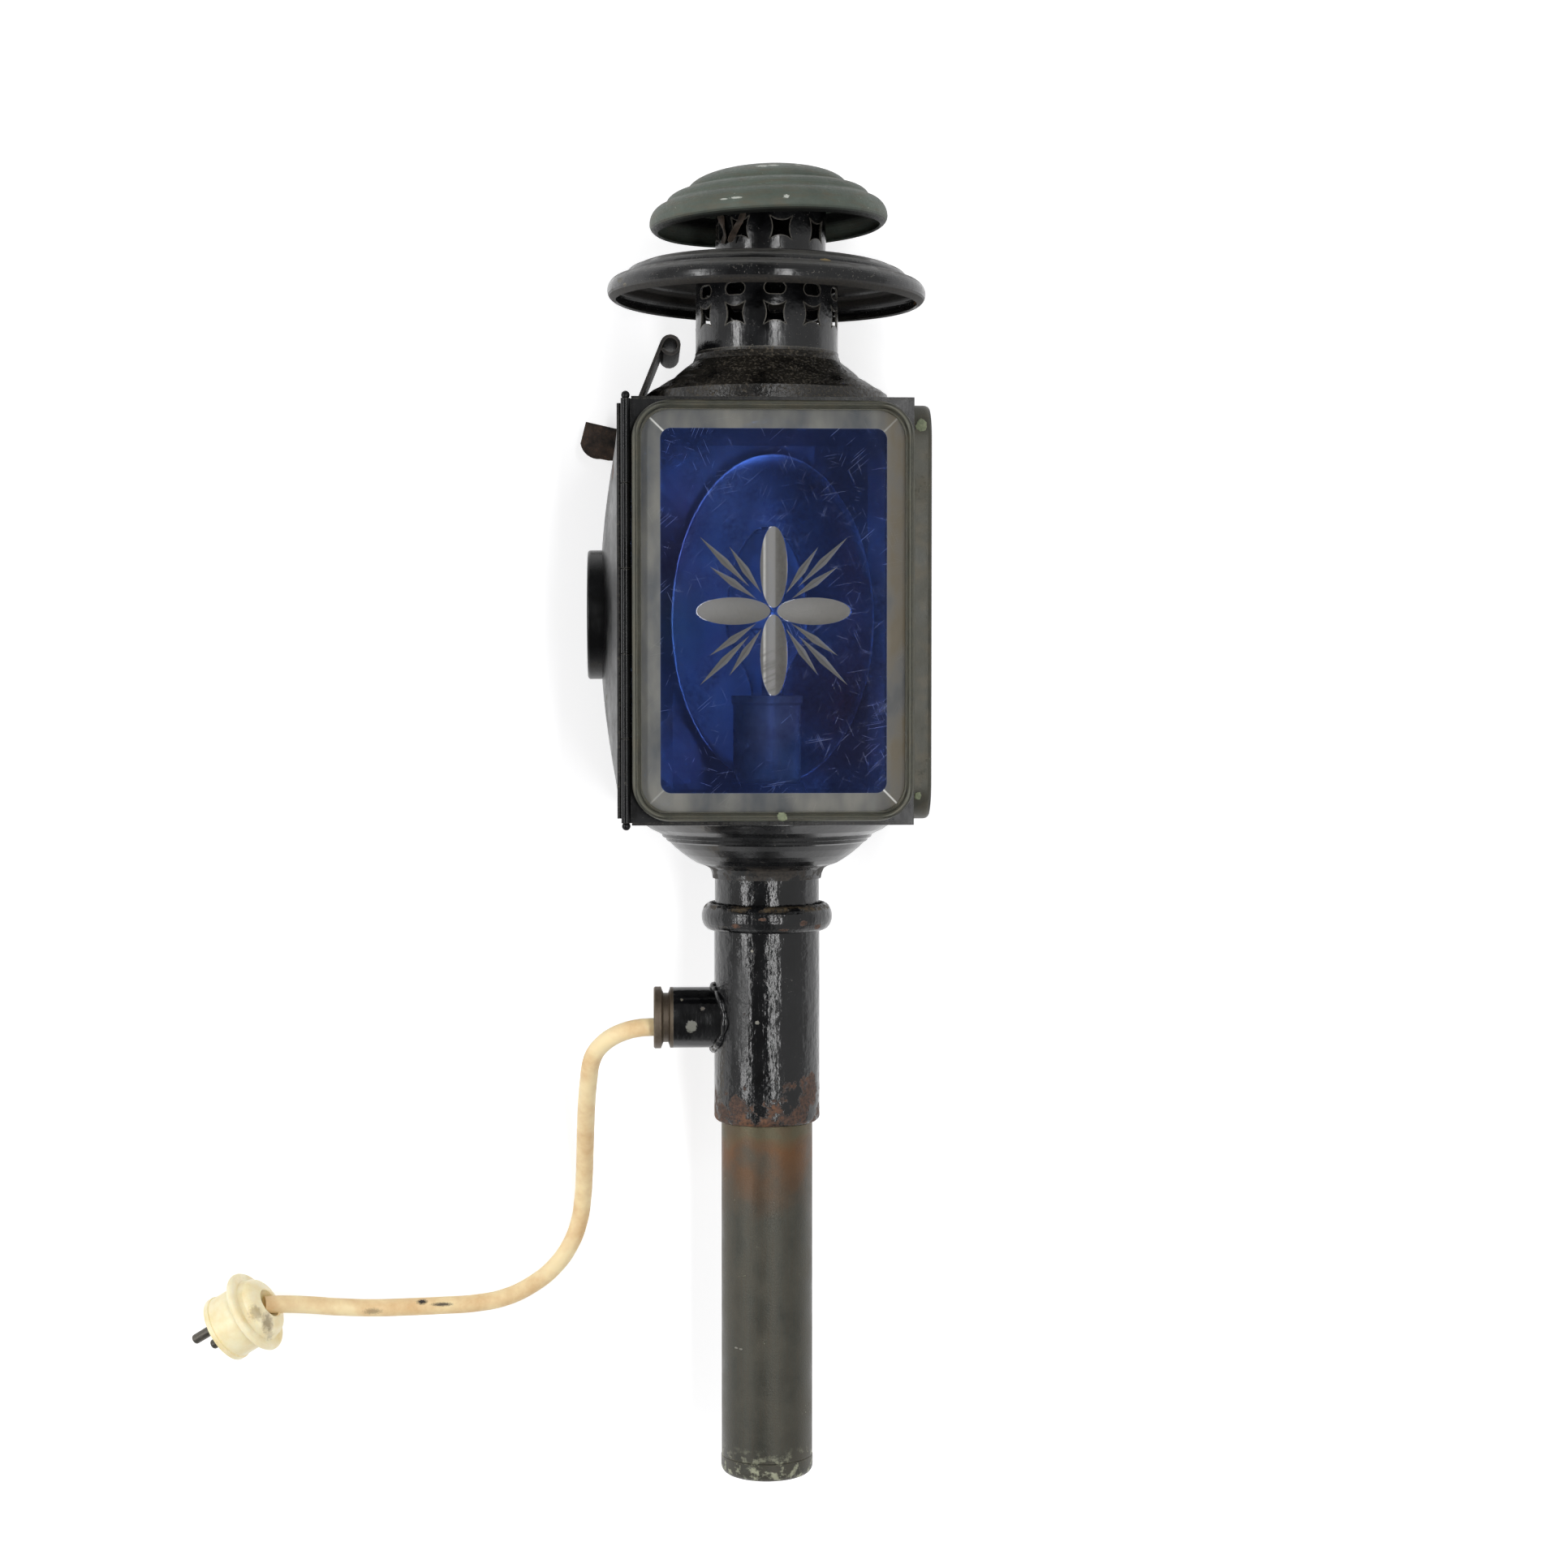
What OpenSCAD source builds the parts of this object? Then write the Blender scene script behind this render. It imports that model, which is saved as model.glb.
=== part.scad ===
// Carriage lantern, converted to mains light, lying on its back.
// Each piece is drawn upright, with the lamp axis on z and the front towards -y, and then laid down:
// in the finished frame X is the lamp's right, +Y runs towards the chimney and +Z is the front.

/* [Candle tube] */
// Outside diameter of the candle tube
tube_d = 37.8; // [36:0.2:39]
// Wall of the candle tube
tube_wall = 0.8; // [0.6:0.1:1.2]
// Length that shows below the stem, end cap included
tube_show = 147.5; // [110:0.5:170]
// Length of tube held inside the stem
tube_hold = 24; // [18:1:28]
// Height of the end cap
end_cap_h = 8; // [6:0.5:12]
// How far the end cap's bead stands out from the tube
end_bead = 0.2; // [0.1:0.05:0.25]
// Running gap between the tube and its guides
tube_gap = 0.08; // [0.05:0.01:0.1]

/* [Stem] */
// Outside diameter of the stem
stem_d = 43.8; // [43:0.2:48]
// Wall of the stem
stem_wall = 0.9; // [0.6:0.1:1.2]
// Height of the stem from its foot to the lip of its bead
stem_h = 91; // [80:0.5:120]
// How far the bead stands out from the stem
bead_out = 5.2; // [4:0.1:7]
// Height of the bead
bead_h = 11.5; // [10:0.5:14]
// Height of the side branch above the stem's foot
branch_up = 43; // [42:0.5:55]
// Outside diameter of the side branch
branch_d = 25.2; // [22:0.2:28]
// Reach of the side branch from the lamp axis
branch_reach = 39; // [32:0.5:44]
// Length of the brass gland outside the branch
gland_len = 8; // [7:0.5:12]
// How far the flex leaves the gland below its middle
flex_drop = 4; // [0:0.5:5]

/* [Neck and dish] */
// Outside diameter of the neck
neck_d = 43.2; // [42:0.2:46]
// Length of neck that shows between bead and dish
neck_show = 10; // [6:0.5:20]
// Diameter of the dish under the case
dish_d = 107; // [98:1:109]
// Height of the dish
dish_h = 24.5; // [20:0.5:30]

/* [Case] */
// Width of the lamp case, left to right
case_w = 111.4; // [106:0.2:116]
// Depth of the lamp case, front to back
case_d = 111.4; // [106:0.2:116]
// Height of the lamp case
case_h = 168.5; // [150:0.5:190]
// Thickness of the case's sheet
sheet = 0.9; // [0.6:0.1:1.2]
// Rim of sheet left round the back and door openings
rim_w = 6; // [5:0.5:9]

/* [Bezels and panes] */
// How far a bezel stays inside the edges of the case, sideways
bezel_side = 0.2; // [0.1:0.1:1]
// How far a bezel stays inside the top and bottom of the case
bezel_end = 1.8; // [1:0.1:4]
// Width of the bezel moulding
bezel_w = 3.6; // [3.4:0.1:5]
// How far the moulding stands out from the case
bezel_out = 7.1; // [6:0.1:9]
// Outer corner radius of the moulding
bezel_corner = 15; // [10:0.5:20]
// Depth of the glass rabbet behind the moulding
rabbet = 3.2; // [2.5:0.1:4]
// Thickness of the pane in its middle field
pane_t = 5.2; // [4.5:0.1:6]
// Width of the pane's bevel
bevel_w = 7.4; // [5:0.1:11]
// Clearance round a pane
pane_gap = 0.1; // [0.05:0.05:0.3]
// Length of the star's upright petals
petal_tall = 33.5; // [28:0.5:40]
// Length of the star's level petals
petal_wide = 30.5; // [26:0.5:34]
// Width of a petal
petal_w = 11; // [9:0.2:13]
// Reach of the star's long diagonal rays
ray_long = 41.5; // [36:0.5:44]
// Reach of the shorter rays beside them
ray_short = 31; // [26:0.5:34]
// Width of a ray
ray_w = 3; // [2:0.1:4]
// Depth of the wheel cuts
cut_depth = 0.9; // [0.5:0.1:1.4]

/* [Door] */
// How far the door stays inside the top and bottom of the case
door_end = 2.7; // [1.5:0.1:8]
// Depth of the door's folded rim
door_rim = 4.5; // [3.5:0.1:6]
// Rise of the domed panel above the rim
dome_rise = 7.6; // [5:0.1:10]
// Gap between the closed door and the case
door_gap = 0.3; // [0.3:0.05:0.6]
// Radius of the hinge barrel
knuckle_r = 1.9; // [1.7:0.1:2.4]
// Diameter of the hinge pin
hinge_pin_d = 2.4; // [2:0.1:2.6]
// Running gap round the hinge pin
pin_gap = 0.05; // [0.02:0.01:0.08]
// Outside diameter of the bull's-eye ring
ring_d = 53; // [44:0.5:60]
// How far the ring stands above the dome
ring_out = 4.8; // [3:0.1:8]
// How far the door pull stands out from the folded rim
pull_out = 15; // [10:0.5:20]
// Height of the door pull
pull_h = 15; // [10:0.5:20]

/* [Door catch] */
// Width of the catch, front to back
catch_w = 48; // [30:1:60]
// Height of the catch above the case
catch_h = 28; // [24:0.5:34]
// Lean of the catch towards the chimney, in degrees
catch_lean = 22; // [16:1:28]
// Outside radius of its curled end
curl_r = 4.2; // [3:0.1:5]
// Thickness of the catch's strip
strip_t = 1.3; // [0.8:0.1:1.6]

/* [Chimney] */
// Base diameter of the roof
roof_d = 100; // [90:1:101]
// Height of the roof
roof_h = 22.8; // [18:0.2:30]
// Outside diameter of the lower gallery
lower_d = 58.6; // [54:0.2:66]
// Height of the lower gallery
lower_h = 36.4; // [32:0.2:50]
// Stars pierced round the lower gallery
lower_stars = 11; // [9:1:12]
// Diameter of the hood over its rolled rim
hood_d = 131; // [126:0.5:142]
// Height of the hood
hood_h = 16.4; // [13:0.2:22]
// Lean of the hood towards its right, in degrees
hood_lean = 0.8; // [0:0.2:2]
// Outside diameter of the upper gallery
upper_d = 45.4; // [40:0.2:50]
// How far the upper gallery was knocked to the right
knock = 1.5; // [0:0.5:2]
// Height from the hood to the rim of the cap
cap_lift = 13.2; // [8:0.2:18]
// Stars pierced round the upper gallery
upper_stars = 8; // [6:1:9]
// Width of a pierced star
star_w = 11.6; // [9:0.2:12.4]
// Height of a pierced star
star_h = 12.6; // [10:0.2:13]
// Width of the round-ended slots over the lower stars
slot_w = 8.6; // [6:0.2:11]
// Height of those slots
slot_h = 4.8; // [3:0.2:6]
// Diameter of the chimney cap
cap_d = 98; // [88:0.5:110]
// Height of the chimney cap
cap_h = 26.4; // [22:0.2:32]
// Lean of the knocked cap, in degrees
cap_lean = 2.4; // [0:0.2:3]
// Thickness of the chimney's sheet
flue_t = 0.8; // [0.6:0.1:1.2]

/* [Electric light] */
// Outside diameter of the lampholder
holder_d = 28; // [26:0.5:32]
// Height of the lampholder
holder_h = 36; // [32:0.5:44]
// Height of the stepped base under it
base_h = 14; // [10:0.5:20]
// Diameter of the bulb's screw cap
bulb_cap_d = 14; // [13.6:0.1:15]
// Diameter of the bulb
bulb_d = 35; // [30:0.5:42]
// Length of the bulb's glass above the lampholder
bulb_len = 70; // [55:1:75]
// Outside diameter of the threaded nipple
nipple_d = 10; // [9:0.1:11]

/* [Cord and plug] */
// Diameter of the flex
cord_d = 7.5; // [6:0.1:8]
// Diameter of the plug's flange
plug_flange_d = 36.4; // [32:0.2:42]
// Diameter of the plug's base
plug_base_d = 29.2; // [26:0.2:32]
// Distance from the flange to the pin face
plug_body = 16; // [13:0.5:20]
// Diameter of a plug pin
plug_pin_d = 4.3; // [4:0.1:5]
// Distance between the plug pins
plug_pin_gap = 13.5; // [12:0.5:17]
// Length of the plug pins
plug_pin_len = 12; // [10:0.5:20]

/* [Hidden] */
$fn = 72;

// Gap left in a soldered or pushed-together round joint
solder = 0.05;
// A little extra so that a cut passes right through a wall
over = 1;

// Heights up the lamp, from the bottom of the tube's end cap
z_foot = tube_show;
z_branch = z_foot + branch_up;
z_lip = z_foot + stem_h;
z_bead = z_lip - bead_h;
z_dish = z_lip + neck_show;
z_case = z_dish + dish_h;
z_mid = z_case + case_h / 2;
z_top = z_case + case_h;
z_lower = z_top + roof_h;
z_hood = z_lower + lower_h + flue_t;
z_cap = z_hood + cap_lift;

// The lamp lies level on its hood's rim and the raised field of its back panel
lie_h = hood_d / 2;

// Candle tube and stem
tube_r = tube_d / 2;
spigot_r = tube_r - 0.4;
guide_r = spigot_r + tube_gap;
stem_r = stem_d / 2;
stem_in = stem_r - stem_wall;
foot_roll = 2.4;
neck_r = neck_d / 2;
neck_wall = 0.8;
neck_seat = 1.5;
branch_wall = 1.2;

// Case, bezels and panes
case_x = case_w / 2;
case_y = case_d / 2;
bezel_h = case_h - 2 * bezel_end;
wall_u = 2;
pane_side = wall_u + pane_gap;
pane_edge = rabbet - pane_gap;
sight = bezel_w + 1;
reflector_t = 0.6;
reflector_lap = 4;

// Door: q is the distance from the lamp axis towards the left
hinge_q = case_x + knuckle_r + 0.35;
hinge_y = -case_y - 0.9;
bore_r = hinge_pin_d / 2 + pin_gap;
knuckle_gap = 0.4;
knuckles = 5;
barrel_h = case_h - 2;
knuckle_h = (barrel_h - (knuckles - 1) * knuckle_gap) / knuckles;
door_q = case_x + door_gap;
door_h = case_h - 2 * door_end;
door_front = hinge_y + knuckle_r + 0.4;
door_back = case_y - 0.6;
door_w = door_back - door_front;
door_mid = (door_front + door_back) / 2;
panel_q = door_q + door_rim;
apex_q = panel_q + sheet + dome_rise;
ring_r = ring_d / 2;
ring_q = apex_q + ring_out;
ring_wall = 1.6;
ring_lip = 2.4;
lens_r = ring_r - ring_wall - solder;
lens_t = 2.6;

// Electric light
socket_z = z_case + sheet;
holder_z = socket_z + base_h;
core_z = holder_z + 3;
bulb_z = core_z + 10.3;
glass_z = holder_z + holder_h;
holder_r = holder_d / 2;
nipple_r = nipple_d / 2;
nipple_bore = nipple_r - 1.4;
nut_h = 4;
holder_floor = 2.5;
cap_skin = 0.4;
flex_r = 3;

// Plug, resting on its flange and the edge of its base
plug_tilt = atan((plug_flange_d - plug_base_d) / 2 / plug_body);
plug_turn = 212.5;
plug_place = [-218.5, -298.5, plug_flange_d / 2 * cos(plug_tilt)];
pin_turn = 33;
pin_root = 8;

// Route of the flex: out of the gland, down to the surface, and along it to the plug
cord_rest = cord_d / 2;
cord_route = [
    [-branch_reach - gland_len, z_branch - z_mid - flex_drop, lie_h],
    for (p = [
        [-1, 0, 0], [-6.74, -0.5, -0.42], [-12.18, -1.99, -1.65], [-17.05, -4.37, -3.64],
        [-21.09, -7.55, -6.27], [-24.11, -11.33, -9.42], [-25.94, -15.55, -12.93]
    ]) [-branch_reach - gland_len, z_branch - z_mid - flex_drop, lie_h] + p,
    [-74.4, -195.5, 44.9], [-75.4, -206.5, 35.9], [-76, -218, 26.7], [-76.5, -230, 17.9],
    [-77, -242, 10.6], [-77.8, -253, 5.8], [-79.2, -262.5, cord_rest + 0.15],
    [-83, -273, cord_rest], [-90.5, -283.5, cord_rest], [-100, -291, cord_rest],
    [-111.7, -296.5, cord_rest], [-125, -299, cord_rest], [-139.5, -299.8, cord_rest],
    [-154, -300.3, cord_rest], [-169.5, -300.5, 4], [-184, -299.4, 6.3], [-196.5, -297.5, 10.2],
    [-206.5, -296, 15], [-214.5, -295.5, 18]
];
cord_sides = 10;

// Colours
black = "#2a2b2c";
patina = "#5a6357";
bronze = "#5e6048";
brass = "#7d765f";
glass_blue = "#24479a";
cream = "#e6d3a2";
steel = "#6b6459";
silver = "#c9ccd0";

// Lay an upright piece down on its back
module lie() translate([0, -z_mid, lie_h]) rotate([-90, 0, 0]) children();

// Turn a shape drawn in plan, rising along z, to stand out of the case's front, right, left or back
module on_front() translate([0, -case_y, z_mid]) rotate([90, 0, 0]) children();
module on_right() translate([case_x, 0, z_mid]) rotate([0, 0, 90]) rotate([90, 0, 0]) children();
module on_left() translate([0, 0, z_mid]) rotate([0, 0, -90]) rotate([90, 0, 0]) children();
module on_back() translate([0, case_y, z_mid]) rotate([0, 0, 180]) rotate([90, 0, 0]) children();

// Points of an arc or ellipse from angle a to angle b
function arc(centre, rx, ry, a, b, steps) =
    [for (i = [0:steps]) let (t = a + (b - a) * i / steps) centre + [rx * cos(t), ry * sin(t)]];

function unit(v) = v / norm(v);
function left_of(a, b) = let (d = unit(b - a)) [-d[1], d[0]];

// A path moved sideways to its left by t, with mitred corners
function beside(path, t) = [
    for (i = [0:len(path) - 1])
        let (
            before = left_of(path[max(i - 1, 0)], path[max(i, 1)]),
            after = left_of(path[min(i, len(path) - 2)], path[min(i + 1, len(path) - 1)]),
            mid = unit(before + after)
        )
        path[i] + mid * t / (mid * before)
];

function reversed(list) = [for (i = [len(list) - 1:-1:0]) list[i]];

// Outline of sheet metal that follows a path, with its thickness to the left
function sheet_outline(path, t) = concat(path, reversed(beside(path, t)));

// Sheet spun round the lamp axis; a path that ends on the axis stays closed there
module spun(path, t) rotate_extrude()
    polygon([for (p = sheet_outline(path, t)) [max(p[0], 0), p[1]]]);

module tube(r, wall, h) difference() {
    cylinder(r = r, h = h);
    translate([0, 0, -over]) cylinder(r = r - wall, h = h + 2 * over);
}

// A four-pointed star bounded by four arcs, with its points cut a little blunt
module star_hole(w, h) {
    side_waist = 0.29;
    end_waist = 0.23;
    blunt = 0.95;
    side = w * (0.5 - side_waist);
    end = h * (0.5 - end_waist);
    side_r = (side * side + h * h / 4) / (2 * side);
    end_r = (end * end + w * w / 4) / (2 * end);
    difference() {
        square([w * blunt, h * blunt], center = true);
        for (s = [-1, 1]) {
            translate([s * (w * side_waist + side_r), 0]) circle(r = side_r);
            translate([0, s * (h * end_waist + end_r)]) circle(r = end_r);
        }
    }
}

// Cut copies of a flat hole through a drum, evenly spaced from a first angle
module pierce(r, count, first, z) for (i = [0:count - 1])
    rotate([0, 0, first + i * 360 / count]) translate([0, -r + 4, z]) rotate([90, 0, 0])
        linear_extrude(8) children();

// Chimney cap: rolled rim, middle tier and domed crown, in height above the rim
cap_r = cap_d / 2;
crown_z = cap_h * 0.645;
crown_r = cap_r * 0.671;
roll_r = 5.6;
roll_z = cap_h * 0.16;
tier_z = cap_h * 0.45;
function cap_path() = concat(
    arc([cap_r - roll_r, roll_z], roll_r, roll_z, -62, -8, 5),
    arc([cap_r - roll_r - 1.2, roll_z], roll_r + 1.2, cap_h * 0.28, 0, 80, 9),
    arc([crown_r, tier_z], cap_r - crown_r - roll_r - 1.4, crown_z - tier_z, 5, 86, 7),
    arc([0, crown_z], crown_r, cap_h - crown_z, 2, 90, 14)
);
// Height inside the crown over the gallery's wall
crown_at = upper_d / 2 + knock + 1;
crown_in = crown_z + (cap_h - crown_z) * sqrt(1 - pow(crown_at / crown_r, 2)) - flue_t * 1.4;

module chimney_cap() color(patina) lie() translate([0, 0, z_cap + crown_in])
    rotate([0, -cap_lean, 0]) translate([0, 0, -crown_in]) spun(cap_path(), flue_t);

// Upper gallery: it stands on the leaning hood and is cut off under the cap
module on_hood() translate([0, 0, z_hood]) rotate([0, hood_lean, 0]) children();

module upper_gallery() color(black) lie() difference() {
    r = upper_d / 2;
    h = cap_lift + crown_in + r * sin(cap_lean + hood_lean) + over;
    first = 8;
    on_hood() translate([knock, 0, 0]) difference() {
        tube(r, flue_t, h);
        pierce(r, upper_stars, first, star_h / 2 + 5.3) star_hole(star_w, star_h);
    }
    translate([0, 0, z_cap + crown_in - solder]) rotate([0, -cap_lean, 0])
        translate([-r - 5, -r - 5, 0]) cube([2 * r + 10, 2 * r + 10, r]);
}

// Hood: rolled rim, one rounded tier, and a nearly flat crown that is the seat between the galleries
hood_r = hood_d / 2;
seat_r = lower_d / 2 + 3;
rim_r = 5.2;
rim_z = hood_h * 0.25;
step_z = hood_h * 0.6;
step_r = hood_r - rim_r - 6.7;
top_z = hood_h * 0.85;
function hood_path() = concat(
    arc([hood_r - rim_r, rim_z], rim_r, rim_z * 1.07, -68, -8, 5),
    arc([hood_r - rim_r, rim_z], rim_r, hood_h * 0.325, 0, 86, 9),
    [[hood_r - rim_r - 1.3, hood_h * 0.576]],
    arc([step_r - 0.6, step_z], 5, top_z - step_z - 0.2, 8, 82, 6),
    arc([seat_r, top_z], step_r - 0.6 - seat_r, hood_h - top_z, 2, 90, 8),
    [[upper_d / 2 - flue_t - knock - 1, hood_h]]
);

module hood() color(black) lie() on_hood() translate([0, 0, -hood_h]) spun(hood_path(), flue_t);

module lower_gallery() color(black) lie() {
    r = lower_d / 2;
    first = 4;
    star_z = 13.7;
    hole_z = star_z + star_h / 2 + 3.6;
    translate([0, 0, z_lower]) difference() {
        tube(r, flue_t, lower_h + over);
        translate([0, 0, lower_h]) rotate([0, hood_lean, 0])
            translate([-r - 5, -r - 5, 0]) cube([2 * r + 10, 2 * r + 10, 5]);
        pierce(r, lower_stars, first, star_z) star_hole(star_w, star_h);
        pierce(r, lower_stars, first, hole_z) union() {
            square([slot_w - slot_h, slot_h], center = true);
            for (s = [-1, 1]) translate([s * (slot_w - slot_h) / 2, 0]) circle(d = slot_h, $fn = 32);
        }
    }
}

// Roof: a flange on the top plate, a low skirt, a step and a steeper neck with a spigot in the gallery,
// as shares of the roof's overhang and of its height
roof_profile = [
    [1, 0], [0.98, 0.25], [0.88, 0.32], [0.76, 0.375], [0.57, 0.49], [0.44, 0.55], [0.38, 0.61],
    [0.23, 0.725], [0.06, 0.84], [0.01, 0.96], [0.01, 1]
];
function roof_path() = let (r = lower_d / 2, spigot = r - flue_t - solder) concat(
    [for (p = roof_profile) [r + p[0] * (roof_d / 2 - r), p[1] * roof_h]],
    [[spigot, roof_h], [spigot, roof_h + 4]]
);

module roof() color("#34322e") lie() translate([0, 0, z_top]) spun(roof_path(), flue_t);

module plate(z, hole_r) translate([0, 0, z]) difference() {
    translate([-case_x, -case_y, 0]) cube([case_w, case_d, sheet]);
    translate([0, 0, -over]) cylinder(r = hole_r, h = sheet + 2 * over);
}

module top_plate() color(black) lie() plate(z_top - sheet, lower_d / 2 - 2);

module floor_plate() color(black) lie() plate(z_case, nipple_r + solder);

// A window of the given size, cut through one wall of the case
module window(w, h) translate([-w / 2, -h / 2, -sheet - over]) cube([w, h, sheet + 2 * over]);

module barrel(i) translate([-hinge_q, hinge_y, z_mid - barrel_h / 2 + i * (knuckle_h + knuckle_gap)])
    children();

module knuckle_bore() translate([-hinge_q, hinge_y, z_case - over])
    cylinder(r = bore_r, h = case_h + 2 * over);

module case_shell() color(black) lie() {
    h = case_h - 2 * sheet;
    leaf_y = 1.7;
    difference() {
        union() {
            difference() {
                translate([-case_x, -case_y, z_case + sheet]) cube([case_w, case_d, h]);
                translate([-case_x + sheet, -case_y + sheet, z_case])
                    cube([case_w - 2 * sheet, case_d - 2 * sheet, case_h]);
                on_front() window(case_w - 2 * (bezel_side + sight), bezel_h - 2 * sight);
                on_right() window(case_d - 2 * (bezel_side + sight), bezel_h - 2 * sight);
                on_back() window(case_w - 2 * rim_w, case_h - 2 * rim_w);
                on_left() translate([0, 0, case_x]) window(case_d - 2 * rim_w, case_h - 2 * rim_w);
            }
            for (i = [0:2:knuckles - 1]) barrel(i) {
                cylinder(r = knuckle_r, h = knuckle_h);
                translate([0, -case_y - hinge_y, 0])
                    cube([hinge_q - case_x + sheet / 2, leaf_y + case_y + hinge_y, knuckle_h]);
            }
        }
        knuckle_bore();
    }
}

// Back panel: a flange on the case and a raised field with sloping sides, level with the hood's rim
back_rise = lie_h - case_y;
module raised(w, h, rise) intersection() {
    translate([0, h / 2 + over, 0]) rotate([90, 0, 0]) linear_extrude(h + 2 * over)
        polygon([[-w / 2, 0], [w / 2, 0], [w / 2 - rise, rise], [rise - w / 2, rise]]);
    translate([-w / 2 - over, 0, 0]) rotate([90, 0, 90]) linear_extrude(w + 2 * over)
        polygon([[-h / 2, 0], [h / 2, 0], [h / 2 - rise, rise], [rise - h / 2, rise]]);
}

module back_panel() color(black) lie() on_back() {
    w = case_w - 2 * rim_w;
    h = case_h - 2 * rim_w;
    flange = rim_w - 1.5;
    wall = sheet * sqrt(2);
    difference() {
        union() {
            translate([-w / 2 - flange, -h / 2 - flange, 0]) cube([w + 2 * flange, h + 2 * flange, sheet]);
            raised(w, h, back_rise);
        }
        intersection() {
            translate([0, 0, -over]) raised(w - 2 * wall + 2 * over, h - 2 * wall + 2 * over, back_rise);
            translate([-w / 2, -h / 2, -over]) cube([w, h, back_rise - sheet + over]);
        }
    }
}

// A cushion of thin sheet, w by h, that swells from a flat edge to the given rise in its middle
pillow_u = 14;
pillow_v = 20;
function swell(i, n) = let (t = min(1, abs(2 * i - n) / (n - 2))) 1 - t * t;
function pillow_side(z, w, h, rise) = [
    for (j = [0:pillow_v], i = [0:pillow_u])
        let (up = rise * swell(i, pillow_u) * swell(j, pillow_v))
        [(i / pillow_u - 0.5) * w, (j / pillow_v - 0.5) * h, z + up]
];
module pillow(w, h, rise, t) {
    side = (pillow_u + 1) * (pillow_v + 1);
    function at(i, j, s) = s * side + j * (pillow_u + 1) + i;
    function cell(i, j, s) = [at(i, j, s), at(i + 1, j, s), at(i + 1, j + 1, s), at(i, j + 1, s)];
    cells = [for (j = [0:pillow_v - 1], i = [0:pillow_u - 1]) [i, j]];
    under = [for (c = cells) let (q = cell(c[0], c[1], 0)) each [[q[0], q[1], q[2]], [q[0], q[2], q[3]]]];
    outer = [for (c = cells) let (q = cell(c[0], c[1], 1)) each [[q[0], q[2], q[1]], [q[0], q[3], q[2]]]];
    u = pillow_u;
    v = pillow_v;
    front = [for (i = [0:u - 1]) [at(i, 0, 0), at(i, 0, 1), at(i + 1, 0, 1), at(i + 1, 0, 0)]];
    back = [for (i = [0:u - 1]) [at(i, v, 0), at(i + 1, v, 0), at(i + 1, v, 1), at(i, v, 1)]];
    left = [for (j = [0:v - 1]) [at(0, j, 0), at(0, j + 1, 0), at(0, j + 1, 1), at(0, j, 1)]];
    right = [for (j = [0:v - 1]) [at(u, j, 0), at(u, j, 1), at(u, j + 1, 1), at(u, j + 1, 0)]];
    polyhedron(concat(pillow_side(0, w, h, rise), pillow_side(t, w, h, rise)),
        concat(under, outer, front, back, left, right));
}

// Back reflector: its flat edge lies on the inside of the case and its middle swells into the back panel
module back_reflector() color(silver) lie() on_back() translate([0, 0, -sheet - reflector_t]) {
    edge = rim_w - reflector_lap;
    pillow(case_w - 2 * edge, case_h - 2 * edge, back_rise - 0.3, reflector_t);
}

// Moulding of a bezel: u runs in from the outer edge, v out from the case
module moulding() {
    crest = wall_u - 0.5;
    outline = concat(
        [[wall_u, 0], [0, 0]],
        arc([crest, bezel_out - 2.4], crest, 2.4, 180, 20, 8),
        [[bezel_w - 0.9, rabbet + 1.6], [bezel_w, rabbet + 1.2], [bezel_w, rabbet], [wall_u, rabbet]]
    );
    polygon(outline);
}

// A frame swept round a rectangle with round corners; its children are the section, in u and v
module swept_frame(w, h, corner) {
    run_x = w - 2 * corner;
    run_y = h - 2 * corner;
    for (i = [0:3]) {
        length = i % 2 == 0 ? run_x : run_y;
        half = i % 2 == 0 ? h / 2 : w / 2;
        rotate([0, 0, 90 * i]) {
            translate([-length / 2, -half, 0]) rotate([90, 0, 90]) linear_extrude(length) children();
            translate([length / 2, corner - half, 0]) rotate([0, 0, -90]) rotate_extrude(angle = 90)
                translate([corner, 0]) mirror([1, 0]) children();
        }
    }
}

module front_bezel() color(bronze) lie() on_front()
    swept_frame(case_w - 2 * bezel_side, bezel_h, bezel_corner) moulding();

module side_bezel() color(bronze) lie() on_right()
    swept_frame(case_d - 2 * bezel_side, bezel_h, bezel_corner) moulding();

module round_plate(w, h, r, t) linear_extrude(t) union() {
    square([w - 2 * r, h], center = true);
    square([w, h - 2 * r], center = true);
    for (x = [-1, 1], y = [-1, 1]) translate([x * (w / 2 - r), y * (h / 2 - r)]) circle(r = r);
}

// Wheel cuts of a star, from radius a to radius b: a lens-shaped hollow, or a groove with a vee bed
module olive_cut(a, b, w, depth) translate([(a + b) / 2, 0, 0]) {
    half = (b - a) / 2;
    rim = (w * w / 4 + depth * depth) / (2 * depth);
    wheel = (half * half + depth * depth) / (2 * depth);
    translate([0, 0, wheel - depth]) rotate([90, 0, 0]) rotate_extrude($fn = 180)
        intersection() {
            translate([wheel - rim, 0]) circle(r = rim);
            translate([wheel - 2 * depth, -w]) square([3 * depth, 2 * w]);
        }
}

module vee_cut(a, b, w) translate([(a + b) / 2, 0, 0]) for (s = [-1, 1])
    rotate([0, s * 90, 0]) cylinder(r1 = w / 2, r2 = 0, h = (b - a) / 2, $fn = 4);

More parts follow.
